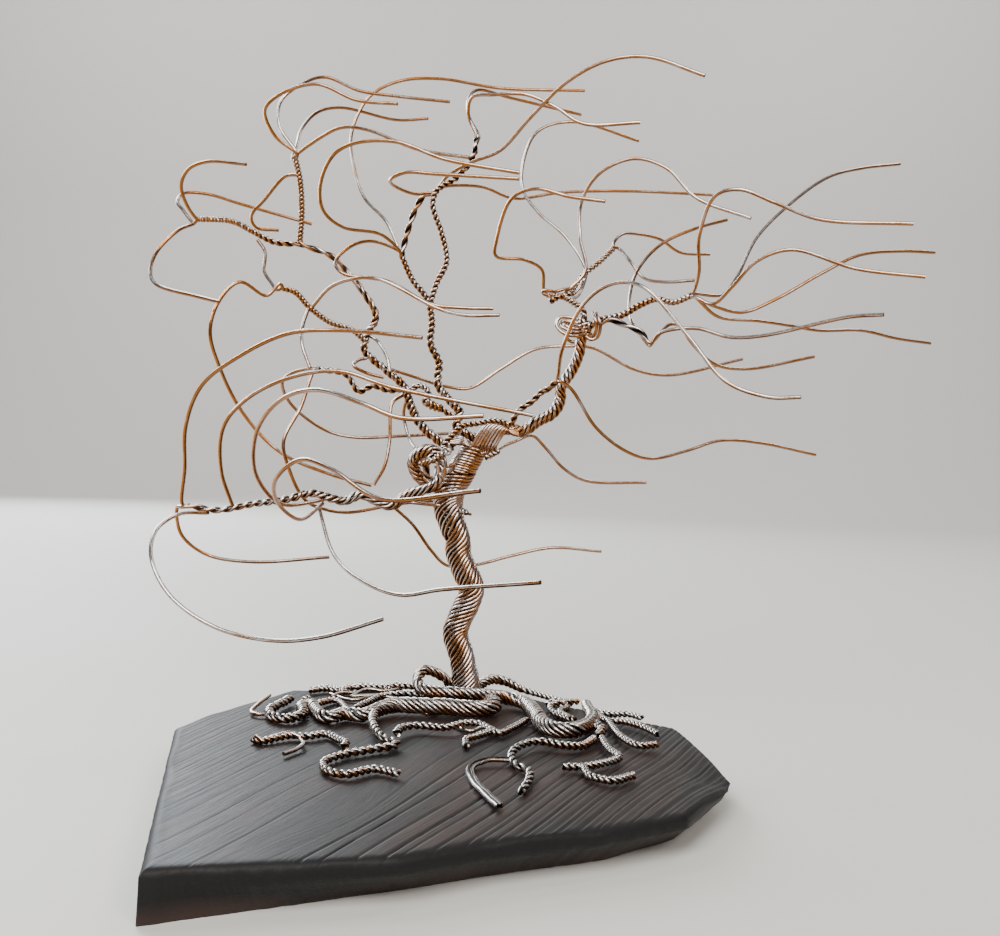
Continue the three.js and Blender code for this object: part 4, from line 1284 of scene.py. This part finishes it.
class WIRETREE_OT_details(PieceOperator, bpy.types.Operator):
    """Adds the short twists, the fanned-out strands of the crown and the stray wires"""

    bl_idname = "wiretree.details"
    bl_label = "Twists and Stray Wires"

    def execute(self, context):
        for i, (name, rows) in enumerate(SMALL_TWISTS.items()):
            seed = TWIST_SEED + TWIST_SEED_STEP * i
            surfaces = [bundle_surface(row, seed + k) for k, row in enumerate(rows)]
            add_wires(name, surfaces, self.steel)
        rng, wire = np.random.default_rng(STRAY_SEED), self.sizes.wire
        for name, routes in STRAYS.items():
            paths = [points_of(route) for route in routes]
            add_wires(name, [single_wire(path, wire, rng, FINE_STEP) for path in paths], self.steel)
        for name, fans in FANS.items():
            add_wires(name, [fan(count, rails, wire, rng) for count, rails in fans], self.steel)
        return {"FINISHED"}


class WIRETREE_OT_stage(PieceOperator, bpy.types.Operator):
    """Adds the floor, the lights and the camera"""

    bl_idname = "wiretree.stage"
    bl_label = "Studio"

    def execute(self, context):
        colours = context.scene.wire_tree_colours
        floor_material = material_named("matt_white_laminate", studio_floor, colours)
        # A floor that rises behind in a wide curve: the profile is carried sideways.
        bend = np.linspace(0, np.pi / 2, 24)
        run = np.concatenate([[-3.0], 1.6 + 0.8 * np.sin(bend), [2.4]])
        rise = np.concatenate([[0.0], 0.8 - 0.8 * np.cos(bend), [3.0]])
        side = np.array([-3.0, 3.0])[:, None]
        points = np.stack(np.broadcast_arrays(side, run, rise), -1).reshape(-1, 3)
        index = np.arange(len(points)).reshape(2, -1)
        quads = np.stack([index[0, :-1], index[1, :-1], index[1, 1:], index[0, 1:]], -1)
        mesh = bpy.data.meshes.new("studio_floor")
        mesh.from_pydata(points.tolist(), [], quads.tolist())
        mesh.shade_smooth()
        mesh.materials.append(floor_material)
        floor = bpy.data.objects.new("studio_floor", mesh)
        context.scene.collection.objects.link(floor)
        floor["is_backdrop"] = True
        for name, place, aim, width, power, colour in (
            ("window_light", (-0.75, 1.15, 0.75), (0, 0, 0.1), 0.8, 22, (0.86, 0.93, 1.0)),
            ("backdrop_light_left", (-1.2, 0.9, 1.9), (-0.4, 2.2, 0.8), 0.8, 26, (0.97, 0.98, 1.0)),
            ("backdrop_light_right", (1.2, 0.9, 1.9), (0.5, 2.2, 0.8), 0.8, 22, (0.97, 0.98, 1.0)),
            ("front_light", (0.75, -1.0, 1.0), (0, 0, 0.1), 0.6, 11, (1.0, 0.95, 0.88)),
            ("high_light", (-0.35, -0.85, 1.05), (0, 0, 0.1), 0.9, 20, (1.0, 0.99, 0.97)),
        ):
            light = bpy.data.lights.new(name, "AREA")
            light.shape, light.size, light.energy, light.color = "DISK", width, power, colour
            lamp = bpy.data.objects.new(name, light)
            context.scene.collection.objects.link(lamp)
            lamp.location = place
            lamp.rotation_euler = (Vector(place) - Vector(aim)).to_track_quat("Z", "Y").to_euler()
            lamp.visible_camera = False
        world = bpy.data.worlds.new("studio")
        world.use_nodes = True
        world.node_tree.nodes["Background"].inputs["Color"].default_value = (0.80, 0.80, 0.80, 1)
        world.node_tree.nodes["Background"].inputs["Strength"].default_value = 0.22
        context.scene.world = world
        camera = bpy.data.objects.new("camera", bpy.data.cameras.new("camera"))
        context.scene.collection.objects.link(camera)
        camera.data.lens = 36
        camera.data.sensor_width = 36
        camera.data.clip_start = 0.01
        turn = Matrix.Rotation(math.pi / 2, 4, "X") @ Matrix.Rotation(math.radians(2.4), 4, "Z")
        camera.matrix_world = Matrix.Translation((0.012, -0.262, 0.085)) @ turn
        context.scene.camera = camera
        return {"FINISHED"}


OPERATORS = [
    WIRETREE_OT_board,
    WIRETREE_OT_trunk,
    WIRETREE_OT_limbs,
    WIRETREE_OT_twigs,
    WIRETREE_OT_roots,
    WIRETREE_OT_wires,
    WIRETREE_OT_details,
    WIRETREE_OT_stage,
]


class WIRETREE_PT_panel(bpy.types.Panel):
    """Lists the pieces of the tree, its sizes and its colours"""

    bl_idname = "WIRETREE_PT_panel"
    bl_label = "Twisted Wire Tree"
    bl_space_type = "VIEW_3D"
    bl_region_type = "UI"
    bl_category = "Wire Tree"

    def draw(self, context):
        for group in (context.scene.wire_tree_sizes, context.scene.wire_tree_colours):
            box = self.layout.box()
            for label in group.__annotations__:
                box.prop(group, label)
        for operator in OPERATORS:
            self.layout.operator(operator.bl_idname)


CLASSES = [WireTreeSizes, WireTreeColours, *OPERATORS, WIRETREE_PT_panel]


def register():
    for entry in CLASSES:
        bpy.utils.register_class(entry)
    bpy.types.Scene.wire_tree_sizes = bpy.props.PointerProperty(type=WireTreeSizes)
    bpy.types.Scene.wire_tree_colours = bpy.props.PointerProperty(type=WireTreeColours)


def unregister():
    del bpy.types.Scene.wire_tree_colours
    del bpy.types.Scene.wire_tree_sizes
    for entry in reversed(CLASSES):
        bpy.utils.unregister_class(entry)


def main():
    """Builds every piece and the studio, and works out how big the whole came out."""
    register()
    for operator in OPERATORS:
        group, name = operator.bl_idname.split(".")
        getattr(getattr(bpy.ops, group), name)()
    boxes = {"cad": CAD_BOX, "visual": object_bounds()}
    boxes = {k: [[float(c) for c in corner] for corner in box] for k, box in boxes.items()}


if __name__ == "__main__":
    main()
